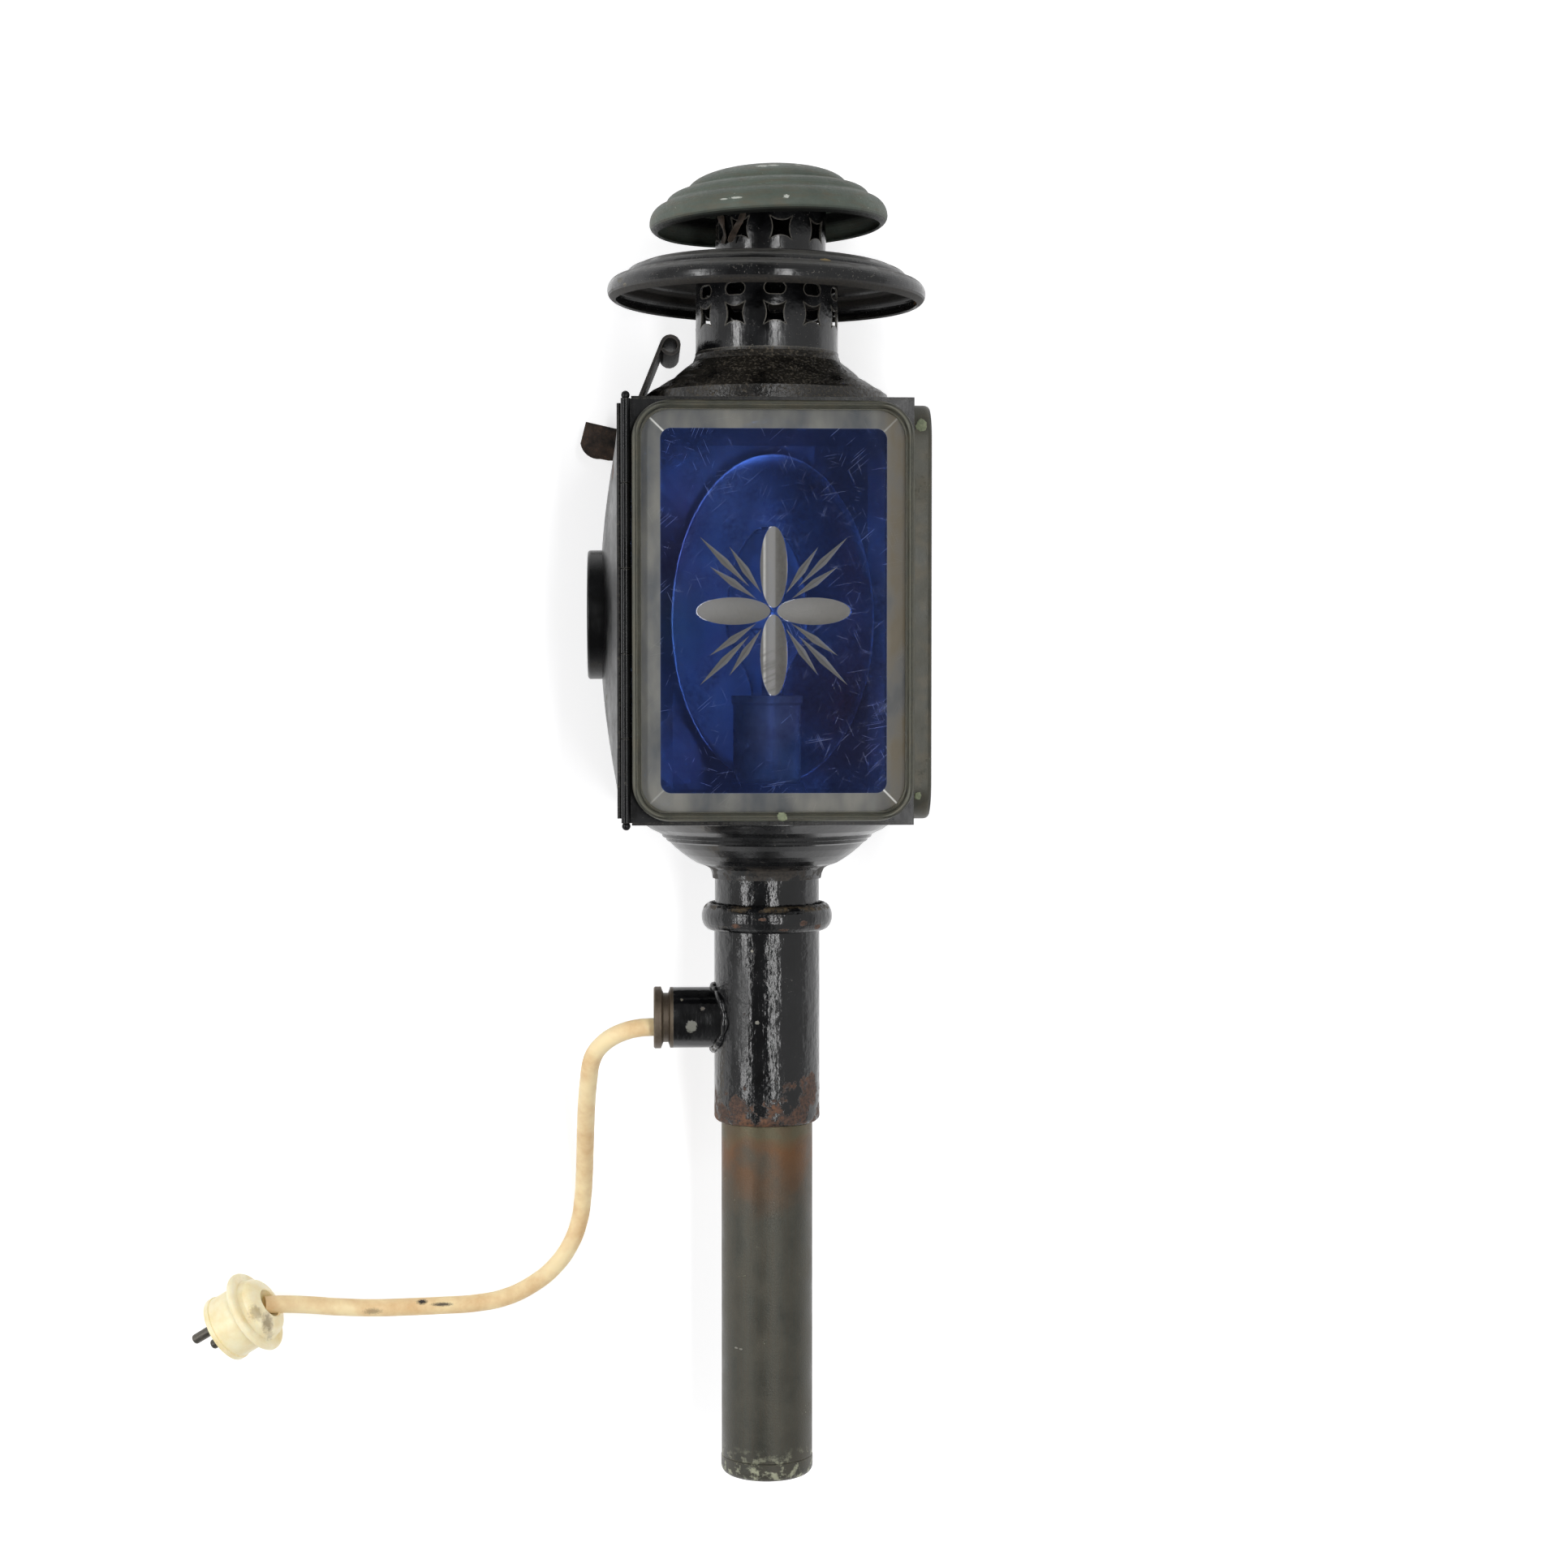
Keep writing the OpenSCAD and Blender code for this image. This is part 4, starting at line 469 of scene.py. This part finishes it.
# Moulded plastics, rubber and pottery: an even body colour with handling dirt in the hollows and a soft shine
def mouldedBody(name, body):
    finish, tree, shader, place = startFinish(name)
    cloud = addNode(tree, "TexNoise", {"Vector": place, "Scale": 1000 / body.get("cloud", 12), "Detail": 4.0,
                                       "Roughness": 0.6})
    fine = addNode(tree, "TexNoise", {"Vector": place, "Scale": 1000 / body.get("fine", 1.2), "Detail": 4.0,
                                      "Roughness": 0.6})
    colour = addNode(tree, "Mix", {0: addNode(tree, "MapRange", (cloud, 0.38, 0.72)), 6: body["pale"], 7: body["deep"]},
                     data_type="RGBA")
    dirt = addNode(tree, "Math", (addNode(tree, "MapRange", (fine, 0.62, 0.72)),
                                  addNode(tree, "MapRange", (cloud, body.get("dirtFrom", 0.55), 0.68, 0.0, 0.8))),
                   operation="MULTIPLY")
    for at, half, share in body.get("spots", []):
        spot = addNode(tree, "Math", (patch(tree, place, at, half, 1.7, 0.4), share), operation="MULTIPLY")
        dirt = addNode(tree, "Math", (dirt, spot), operation="MAXIMUM")
    colour = addNode(tree, "Mix", {0: dirt, 6: colour, 7: body["dirt"]}, data_type="RGBA")
    tree.links.new(colour, shader.inputs["Base Color"])
    tree.links.new(addNode(tree, "MapRange", (cloud, 0.2, 0.8, body["gloss"], body["gloss"] + 0.2)),
                   shader.inputs["Roughness"])
    shader.inputs["IOR"].default_value = 1.5
    shader.inputs["Subsurface Weight"].default_value = body.get("glow", 0.0)
    shader.inputs["Subsurface Radius"].default_value = (0.002, 0.0014, 0.0008)
    shader.inputs["Subsurface Scale"].default_value = 1.0
    tree.links.new(addNode(tree, "Bump", {"Height": fine, "Distance": body.get("depth", 0.04) * mm}),
                   shader.inputs["Normal"])
    return finish


# Clear or coloured glass of the bulb and the bull's-eye, with a film of dust
def clearGlass(name, colour, dust):
    finish, tree, shader, place = startFinish(name)
    film = addNode(tree, "TexNoise", {"Vector": place, "Scale": 1000 / 9, "Detail": 4.0})
    film = addNode(tree, "MapRange", (film, 0.35, 0.75))
    share = addNode(tree, "Math", (film, dust), operation="MULTIPLY")
    dusty = addNode(tree, "Mix", {0: share, 6: colour, 7: "#8d887c"}, data_type="RGBA")
    tree.links.new(dusty, shader.inputs["Base Color"])
    shader.inputs["Transmission Weight"].default_value = 0.92
    tree.links.new(addNode(tree, "MapRange", (film, 0.0, 1.0, 0.02, 0.14)), shader.inputs["Roughness"])
    shader.inputs["IOR"].default_value = 1.5
    return finish


japanCase = japannedTin("japanned tinplate, case", {"run": (3, 30, 3), "rimColour": "#6a665c", "rimShare": 0.42,
                                                    "depth": 0.06, "gloss": 0.2, "dull": 0.36, "shine": 0.22})
japanDoor = japannedTin("japanned tinplate, door", {
    "lump": 7, "run": (3, 34, 3), "bareFrom": 0.48, "speckFrom": 0.6, "rimShare": 0.5, "rimColour": "#5d5a51",
    "gloss": 0.27, "dull": 0.46, "shine": 0.3, "depth": 0.12, "chip": "#5a544a",
    "spots": [((-66, -61, 24), (9, 6, 3), None), ((-66, 57, 97), (9, 4, 2.4), None),
              ((-66, 24, 30), (9, 1.6, 2.2), None), ((-66, -34, 88), (9, 1.2, 1.8), "#5f5b53"),
              ((-66, 40, 52), (9, 2.2, 1), "#4a463f")]})
japanStem = japannedTin("japanned tinplate, stem", {
    "lump": 3.4, "run": (1.8, 16, 1.8), "depth": 0.34, "rust": (-187, -212), "dry": (-121, -119.2),
    "scrapes": [((-11.5, -161, 84), (3.6, 22, 6))], "dryColour": "#54462f",
    "spots": [((17.8, -195, 78), (3.6, 6.5, 5), None), ((15, -200, 81), (3, 4, 4), None),
              ((-13.4, -201, 82.5), (3.5, 4, 4), None), ((-4.9, -166.6, 86.8), (0.9, 0.7, 1), "#77756c"),
              ((-7, -137.4, 86.2), (0.5, 0.6, 1), "#8d8a80"), ((-14, -127, 88.6), (1.8, 1, 2), None),
              ((6, -128.6, 92), (2.8, 0.7, 2), None), ((14, -126, 88.8), (1.6, 1.2, 2), None),
              ((-3, -124, 92.4), (1.6, 0.6, 2), None), ((20.5, -128, 83.5), (2, 1.2, 3), None)]})
japanNeck = japannedTin("japanned tinplate, neck", {"lump": 3.4, "depth": 0.3})
japanBranch = japannedTin("japanned tinplate, branch", {
    "lump": 6, "depth": 0.12,
    "spots": [((-31.6, -169.2, 77.9), (2.1, 2.4, 2), "#6f6f67"), ((-27, -162, 76.9), (0.9, 0.7, 1), "#59544c"),
              ((-35.5, -158, 75.5), (0.7, 0.8, 1), "#6a665b")]})
japanDish = japannedTin("japanned tinplate, dish", {
    "dry": (-110, -103), "dryColour": "#352e27", "rimColour": "#3a3834", "rimShare": 0.3, "depth": 0.1,
    "gloss": 0.16, "dull": 0.32})
japanHood = japannedTin("japanned tinplate, hood", {
    "rimShare": 0.65, "rimColour": "#625f57", "bareFrom": 0.42, "run": (18, 3, 18), "under": "#100f0d",
    "dust": "#403f3b", "gloss": 0.1, "shine": 0.42, "dull": 0.24, "pale": "#18191b", "speck": 0.9,
    "speckFrom": 0.61, "depth": 0.14,
    "spots": [((-60.1, 133.5, 91.7), (1.5, 1, 3), "#66645d"), ((-58.3, 131.2, 95), (0.8, 0.7, 2), "#6f6a5e"),
              ((-62.5, 131.5, 80), (1.2, 1.6, 3), "#5f5d57"), ((20.6, 137.7, 120), (2.2, 0.7, 3), "#85724a"),
              ((62.9, 131.1, 51), (0.9, 1.6, 2), "#7a5530")]})
japanGallery = japannedTin("japanned tinplate, gallery", {
    "rimColour": "#6f6b62", "rim": 0.9, "rimShare": 1.0, "rimFrom": 0.3, "dull": 0.3, "pale": "#1d1e20",
    "bareFrom": 0.44, "depth": 0.2})
roofCrust = japannedTin("sooted varnish", {"lump": 1.6, "depth": 0.3, "gloss": 0.25, "dull": 0.5, "pale": "#27231d",
                                          "deep": "#0d0c0b", "bareFrom": 0.36, "chip": "#4f483c", "speck": 1.1,
                                          "speckFrom": 0.55, "run": (20, 2, 20)})
capPatina = patinatedCopper("patinated copper", {
    "deep": "#474e46", "pale": "#5b645b", "dust": "#5a5446", "ridge": "#6c796e", "chip": "#b4b7af",
    "under": "#0c0e0b",
    "chips": [((-3, 179.2, 93), (2.2, 0.7, 2.4)), ((1.5, 179.6, 93.3), (2, 0.5, 2.4)),
              ((5.6, 163.6, 114), (1.1, 0.7, 2)), ((-14.1, 163.3, 111.4), (2.2, 0.4, 3)),
              ((-19, 163, 110), (1.4, 0.3, 3)), ((11.5, 180.6, 89), (1.2, 0.4, 2))]})
mouldingLines = {"turn": 0, "shift": (0, 0, -126.4), "half": (49.6, 76.6), "corner": 7, "colour": "#15160f",
                 "lines": [(0.9, 0.35, 0.75), (2.6, 0.3, 0.6), (4.4, 0.4, 0.8)]}
oldBrass = {"deep": "#3c3d35", "pale": "#57574c", "streak": "#5a5140", "saltColour": "#6f7967", "rub": "#7f7a64",
            "metal": 0.4, "drawn": (6, 6, 6)}
frontBrass = tarnishedBrass("tarnished brass, front bezel", {**oldBrass, "moulding": mouldingLines})
sideBrass = tarnishedBrass("tarnished brass, side bezel", {
    **oldBrass, "deep": "#33342e", "pale": "#4c4b42",
    "moulding": {**mouldingLines, "turn": -90, "shift": (65.5, 0, -60.9)}})
tubeBrass = tarnishedBrass("tarnished brass, tube", {
    "deep": "#3c3d37", "pale": "#504e45", "streak": "#4c4235", "saltColour": "#a5a78e", "rub": "#8a8468", "metal": 0.5,
    "saltFrom": 0.64, "heat": [(-248, -216, "#6e4826"), (-219, -213, "#545341")], "salt": (-343, -353),
    "saltShare": 0.85, "depth": 0.12,
    "spots": [((-13.4, -302.1, 79), (0.9, 0.35, 0.9), "#85837a"),
              ((-11.4, -302.3, 80.4), (0.8, 0.35, 0.8), "#7d7b72")]})
glandBrass = tarnishedBrass("tarnished brass, gland", {"deep": "#4a4036", "pale": "#6b5f51", "streak": "#4c4032",
                                                       "saltColour": "#746e5d", "rub": "#92886c", "metal": 0.5})
rust = rustedSteel("rusted steel strip", {"scale": "#14110f", "brown": "#3f2e22", "bloom": "#70482b"})
catchRust = rustedSteel("rusted spring steel", {"scale": "#0a0909", "brown": "#1b1613", "bloom": "#40301f"})
tornTin = rustedSteel("torn tin", {"scale": "#2b251f", "brown": "#51443a", "bloom": "#6b523d"})
silver = silveredSheet("silvered copper sheet", {"pale": "#c6c9cb", "stain": "#8a7c66", "gloss": 0.3})
dullSilver = silveredSheet("tarnished silvered sheet", {"pale": "#6b6a66", "stain": "#3d362c", "gloss": 0.36})
cutStar = {"half": (44.4, 71.35), "corner": 4.2, "blue": "#3059c2", "brightBlue": "#4573e6", "violet": "#4c478f",
           "edge": "#8aa4e8", "scratch": "#aebfe6", "haze": "#8b94ac", "ground": "#5a5d60", "paleGround": "#85847e",
           # colour of the painted highlight along the bevel's mitres
           "brownGround": "#655a45", "paintedMitreGlint": "#d5d5d0",
           "scratches": [(24, 0.14, 15, 0.8), (72, 0.13, 11, 0.81), (131, 0.14, 18, 0.8), (158, 0.13, 12, 0.81),
                         (100, 0.13, 20, 0.81)],
           # painted reflection bands across an upright petal, left to right
           "paintedFacetBands": [(0, "#6b6a66"), (0.14, "#595855"), (0.2, "#c4c3be"), (0.27, "#6b6a68"), (0.52, "#767573"),
                      (0.58, "#504e48"), (0.88, "#4a4741"), (0.95, "#989383"), (1, "#62605a")]}
frontGlass = flashedGlass("flashed glass, front", {
    **cutStar, "turn": 0, "shift": (0, 0, -126.4),
    # painted light, shade and reflections from inside the case, as patches on the front pane
    "paintedLightZones": [((-16, 44, 0), (13, 20, 10), "#6485ee", 0.6), ((20, 57, 0), (22, 15, 10), "#2c4088", 0.6),
              ((-36, 34, 0), (8, 15, 10), "#4c428e", 0.6), ((-38, -4, 0), (8, 13, 10), "#41709f", 0.5),
              ((-31, -58, 0), (16, 14, 10), "#2b307a", 0.6), ((-1, -44, 0), (7, 9, 10), "#6a8cff", 0.7),
              ((32, -42, 0), (11, 24, 10), "#473d7c", 0.6)]})
sideGlass = flashedGlass("flashed glass, side", {**cutStar, "turn": -90, "shift": (65.5, 0, -60.9)})
ruby = clearGlass("ruby glass", "#6a0f14", 0.3)
bulbGlass = clearGlass("soda glass", "#f2f5f5", 0.15)
bakelite = mouldedBody("tan bakelite", {"pale": "#cbb88f", "deep": "#ab9468", "dirt": "#5a5046", "gloss": 0.2})
porcelain = mouldedBody("glazed porcelain", {"pale": "#dcd6c8", "deep": "#c6bda9", "dirt": "#6b5f4d", "gloss": 0.15})
plugBody = mouldedBody("cream urea plastic", {
    "pale": "#fcf1cd", "deep": "#f1dda6", "dirt": "#7d6743", "gloss": 0.25, "glow": 0.2, "cloud": 9, "dirtFrom": 0.6,
    "spots": [((-216, -295.9, 30.7), (3, 3, 2), 0.5), ((-211.5, -300.7, 28.5), (2.5, 4, 3), 0.7),
              ((-212, -306, 24), (2, 3, 3), 0.5), ((-210.5, -293.5, 26), (2, 3.2, 3), 0.85)]})
flexBody = mouldedBody("perished rubber flex", {
    "pale": "#fae4b4", "deep": "#e0ba86", "dirt": "#2e2822", "gloss": 0.42, "cloud": 14, "fine": 1.6, "glow": 0.12,
    "dirtFrom": 0.66, "spots": [((-147.8, -297.6, 6.3), (2, 1.1, 1.2), 1), ((-139, -298.6, 7.3), (4, 0.7, 1), 0.9),
                                ((-169, -301.3, 7.6), (3.5, 1.2, 1), 0.45)]})
nickel = tarnishedBrass("tarnished nickel", {"deep": "#45433f", "pale": "#6b6760", "streak": "#5b564d",
                                             "saltColour": "#6f7360", "rub": "#a09a8e", "metal": 0.85, "gloss": 0.3})
verdigris = mouldedBody("verdigris and old solder", {
    "pale": "#7d8468", "deep": "#5b6450", "dirt": "#a9a98a", "gloss": 0.55, "cloud": 3, "fine": 0.6, "depth": 0.2,
    "dirtFrom": 0.45})

for finish, names in (
        (capPatina, ["chimney_cap"]), (japanGallery, ["upper_gallery", "lower_gallery"]), (japanHood, ["hood"]),
        (roofCrust, ["roof"]),
        (japanCase, ["top_plate", "case_shell", "floor_plate", "back_panel", "door_frame", "hinge_pin", "lens_ring"]),
        (japanDoor, ["door_panel"]), (dullSilver, ["back_reflector", "door_reflector"]),
        (frontBrass, ["front_bezel"]), (sideBrass, ["side_bezel"]), (frontGlass, ["front_pane"]),
        (sideGlass, ["side_pane"]), (ruby, ["bulls_eye"]),
        (rust, ["lens_clip", "door_pull", "catch_foot", "catch_rivets"]), (catchRust, ["catch_leaf"]),
        (japanDish, ["bottom_dish"]), (japanNeck, ["neck"]), (japanBranch, ["branch"]), (japanStem, ["stem"]),
        (glandBrass, ["gland", "nipple", "nipple_nut", "socket_base"]),
        (tubeBrass, ["tube_guide", "candle_tube", "tube_cap"]), (bakelite, ["lampholder"]),
        (porcelain, ["holder_core"]), (nickel, ["bulb_cap", "filament", "plug_pins"]), (bulbGlass, ["bulb_glass"]),
        (flexBody, ["inner_flex"]), (plugBody, ["plug_base", "plug_cover"])):
    for name in names:
        paint(cad[name], finish)
flexCurve.materials.append(flexBody)
print("finishes given")

creaseAngle = 40  # new pieces stay sharp over this


# Selects the points of the mesh in edit mode that pass a test
def selectPoints(piece, test):
    bpy.ops.mesh.select_mode(type="VERT")
    bpy.ops.mesh.select_all(action="DESELECT")
    shape = bmesh.from_edit_mesh(piece.data)
    for point in shape.verts:
        point.select_set(test(point.co / mm))
    shape.select_flush_mode()
    bmesh.update_edit_mesh(piece.data)


# Adds a modifier with its settings and applies it
def shapeWith(piece, kind, **settings):
    change = piece.modifiers.new("shape", kind)
    for name, value in settings.items():
        setattr(change, name, value)
    bpy.ops.object.modifier_apply(modifier="shape")


# Joins parts into the one made last
def joinParts(parts, name):
    for part in parts:
        part.select_set(True)
    bpy.ops.object.join()
    bpy.context.object.name = name
    return bpy.context.object


# Gives a new piece smooth shading, its finish and its body
def fit(piece, finish):
    bpy.ops.object.shade_smooth_by_angle(angle=math.radians(creaseAngle))
    paint(piece, finish)
    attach(piece, "lantern")


# Oval reflector bowl in the back of the case, which shows through the blue glass
bowl = {"rim": (4.5, -1, 21), "half": (43, 70), "depth": 17.6, "arc": 50, "flange": 1.012, "wall": 0.5}
middle = Vector(bowl["rim"]) * mm
arc = math.radians(bowl["arc"])
ball = bowl["depth"] / (1 - math.cos(arc))  # height of the ball that the bowl is cut from
bpy.ops.object.select_all(action="DESELECT")
bpy.ops.mesh.primitive_uv_sphere_add(segments=64, ring_count=32, radius=mm, location=(0, 0, 0))
reflector = bpy.context.object
reflector.name = "oval_reflector"
bpy.ops.object.mode_set(mode="EDIT")
bpy.ops.mesh.select_all(action="SELECT")
bpy.ops.transform.resize(value=[h / math.sin(arc) for h in bowl["half"]] + [ball], center_override=(0, 0, 0))
bpy.ops.transform.translate(value=middle + Vector((0, 0, ball * math.cos(arc) * mm)))
bpy.ops.mesh.bisect(plane_co=middle, plane_no=(0, 0, 1), clear_outer=True)
selectPoints(reflector, lambda p: p.z > bowl["rim"][2] - 0.01)
bpy.ops.mesh.extrude_region_move()
bpy.ops.transform.resize(value=(bowl["flange"], bowl["flange"], 1), center_override=middle)
bpy.ops.object.mode_set(mode="OBJECT")
shapeWith(reflector, "SOLIDIFY", thickness=bowl["wall"] * mm)
fit(reflector, silver)
print("reflector made")

# Two ribbons torn out of the upper gallery, hanging across its hole
tears = {
    "torn_ribbon_a": {"start": (-19.4, 161.6, 77.4), "wide": 3.4, "stub": 0.8, "thick": 0.5, "lean": 38,
                      "steps": [(0.5, -2.6, 0.4, 25), (0.7, -2.8, 0.9, 35), (0.3, -2.8, 0.2, -30),
                                (-0.7, -2.6, -0.9, -20)]},
    "torn_ribbon_b": {"start": (-10.6, 161.2, 86.2), "wide": 2.8, "stub": 0.8, "thick": 0.5, "lean": 24,
                      "steps": [(-1.2, -2.7, 0.2, -25), (-1.5, -2.7, -0.8, -25), (-1.6, -2.9, -1.4, 20),
                                (-0.8, -2.4, -1.2, 15)]},
}
for name, tear in tears.items():
    at = Vector(tear["start"]) * mm
    bpy.ops.object.select_all(action="DESELECT")
    bpy.ops.mesh.primitive_plane_add(size=mm, location=(0, 0, 0))
    ribbon = bpy.context.object
    ribbon.name = name
    bpy.ops.object.mode_set(mode="EDIT")
    bpy.ops.mesh.select_all(action="SELECT")
    bpy.ops.transform.resize(value=(tear["wide"], tear["stub"], 1), center_override=(0, 0, 0))
    bpy.ops.transform.rotate(value=math.radians(tear["lean"]), orient_axis="Y", center_override=(0, 0, 0))
    bpy.ops.transform.translate(value=at)
    selectPoints(ribbon, lambda p: p.y < tear["start"][1])
    for dx, dy, dz, twist in tear["steps"]:
        step = Vector((dx, dy, dz)) * mm
        at = at + step
        bpy.ops.mesh.extrude_region_move(TRANSFORM_OT_translate={"value": step})
        bpy.ops.transform.rotate(value=math.radians(twist), orient_axis="Y", center_override=at)
    bpy.ops.object.mode_set(mode="OBJECT")
    shapeWith(ribbon, "SUBSURF", levels=2)
    shapeWith(ribbon, "SOLIDIFY", thickness=tear["thick"] * mm)
    fit(ribbon, tornTin)
print("torn ribbons made")

# Lumpy solder run round the branch where it meets the stem
solder = {"branchRadius": 12.9, "stemRadius": 21.6, "middle": (-166.75, 65.5), "lumps": 60, "size": 1.6, "sink": 0.4,
          "swell": (0.22, 0.14), "voxel": 0.4, "smooth": 0.7, "passes": 12}
bpy.ops.object.select_all(action="DESELECT")
lumps = []
for i in range(solder["lumps"]):
    a = 2 * math.pi * i / solder["lumps"]
    y, z = solder["branchRadius"] * math.cos(a), solder["branchRadius"] * math.sin(a)
    x = -math.sqrt(solder["stemRadius"] ** 2 - z * z) - solder["sink"]
    slow, quick = solder["swell"]
    size = solder["size"] * (1 + slow * math.sin(0.9 * i) + quick * math.cos(0.37 * i * i))
    place = Vector((x, solder["middle"][0] + y, solder["middle"][1] + z)) * mm
    bpy.ops.mesh.primitive_ico_sphere_add(subdivisions=3, radius=size * mm, location=place)
    lumps.append(bpy.context.object)
fillet = joinParts(lumps, "solder_run")
bpy.ops.object.transform_apply(location=True, rotation=True, scale=True)
shapeWith(fillet, "REMESH", mode="VOXEL", voxel_size=solder["voxel"] * mm)
shapeWith(fillet, "SMOOTH", factor=solder["smooth"], iterations=solder["passes"])
fit(fillet, japanBranch)
print("solder run made")

# Blobs of verdigris and old solder on the bezels
blobs = {"rough": 0.34, "seed": 3,
         "places": [((3.2, -80.6, 128), (2, 1.7, 0.7)), ((58.6, 73.2, 120.2), (2.2, 2.6, 0.8)),
                    ((57.4, -72.8, 120.4), (1.3, 1.5, 0.7))]}
bpy.ops.object.select_all(action="DESELECT")
drops = []
for i, (at, half) in enumerate(blobs["places"]):
    bpy.ops.mesh.primitive_ico_sphere_add(subdivisions=3, radius=mm, location=(0, 0, 0))
    drop = bpy.context.object
    bpy.ops.object.mode_set(mode="EDIT")
    bpy.ops.mesh.select_all(action="SELECT")
    bpy.ops.transform.vertex_random(offset=blobs["rough"] * mm, seed=i + blobs["seed"])
    bpy.ops.transform.resize(value=half, center_override=(0, 0, 0))
    bpy.ops.transform.translate(value=Vector(at) * mm)
    bpy.ops.object.mode_set(mode="OBJECT")
    drops.append(drop)
crust = joinParts(drops, "verdigris_blobs")
shapeWith(crust, "SMOOTH", iterations=1)
fit(crust, verdigris)
print("blobs made")

# White table that glows to white in the camera and in reflections but keeps the shadows
table = {"size": 8.0, "colour": "#e9e9ea", "glow": 0.52}
bpy.ops.object.select_all(action="DESELECT")
bpy.ops.mesh.primitive_plane_add(size=table["size"])
floor = bpy.context.object
floor.name = "table"
paper = bpy.data.materials.new("white paper")
paper.use_nodes = True
tree = paper.node_tree
tree.nodes.clear()
ways = addNode(tree, "LightPath").node.outputs
seen = addNode(tree, "Math", (ways["Is Camera Ray"], ways["Is Glossy Ray"]), operation="MAXIMUM")
seen = addNode(tree, "Math", (seen, ways["Is Transmission Ray"]), operation="MAXIMUM")
seen = addNode(tree, "Math", (seen, table["glow"]), operation="MULTIPLY")
glow = addNode(tree, "Emission", {"Strength": seen})
matt = addNode(tree, "BsdfDiffuse", {"Color": table["colour"]})
tree.links.new(addNode(tree, "AddShader", (glow, matt)), tree.nodes.new("ShaderNodeOutputMaterial").inputs["Surface"])
floor.data.materials.append(paper)
print("table laid")

# Light tent: white all round with a dark gap along its top, and a strip light on each side of the gap
tent = {"white": 0.64, "dark": 0.14, "gapLean": -15.5, "gap": 22.5, "fade": 2}
world = bpy.data.worlds.new("light tent")
scene.world = world
world.use_nodes = True
tree = world.node_tree
lean = math.radians(tent["gapLean"])
ray = addNode(tree, "TexCoord").node.outputs["Generated"]
ray = addNode(tree, "VectorMath", (ray, (1, 0, 1)), operation="MULTIPLY")
ray = addNode(tree, "VectorMath", (ray,), operation="NORMALIZE")
toGap = addNode(tree, "VectorMath", (ray, (math.sin(lean), 0, math.cos(lean))), operation="DOT_PRODUCT")
shade = addNode(tree, "MapRange", (toGap, math.cos(math.radians(tent["gap"] + tent["fade"])),
                                   math.cos(math.radians(tent["gap"] - tent["fade"])), tent["white"], tent["dark"]))
ways = addNode(tree, "LightPath").node.outputs
shade = addNode(tree, "Mix", {0: ways["Is Camera Ray"], 2: shade, 3: 1.0})  # white behind the table
tree.links.new(shade, tree.nodes["Background"].inputs["Strength"])
tree.nodes["Background"].inputs["Color"].default_value = (1, 1, 1, 1)
strips = {"left": (-51, 1.1, 0.1, 1.0, 4.8), "right": (11, 1.1, 0.11, 1.0, 5.2)}
stripMiddle = Vector((0, -30, 65.5)) * mm  # a point on the lamp's axis that both face
for name, (angle, reach, wide, long, power) in strips.items():
    a = math.radians(angle)
    bpy.ops.object.light_add(type="AREA", rotation=(0, a, 0),
                             location=stripMiddle + reach * Vector((math.sin(a), 0, math.cos(a))))
    lamp = bpy.context.object
    lamp.name = name + " strip"
    lamp.data.shape = "RECTANGLE"
    lamp.data.size, lamp.data.size_y = wide, long
    lamp.data.energy = power
print("light set")

bpy.context.view_layer.update()
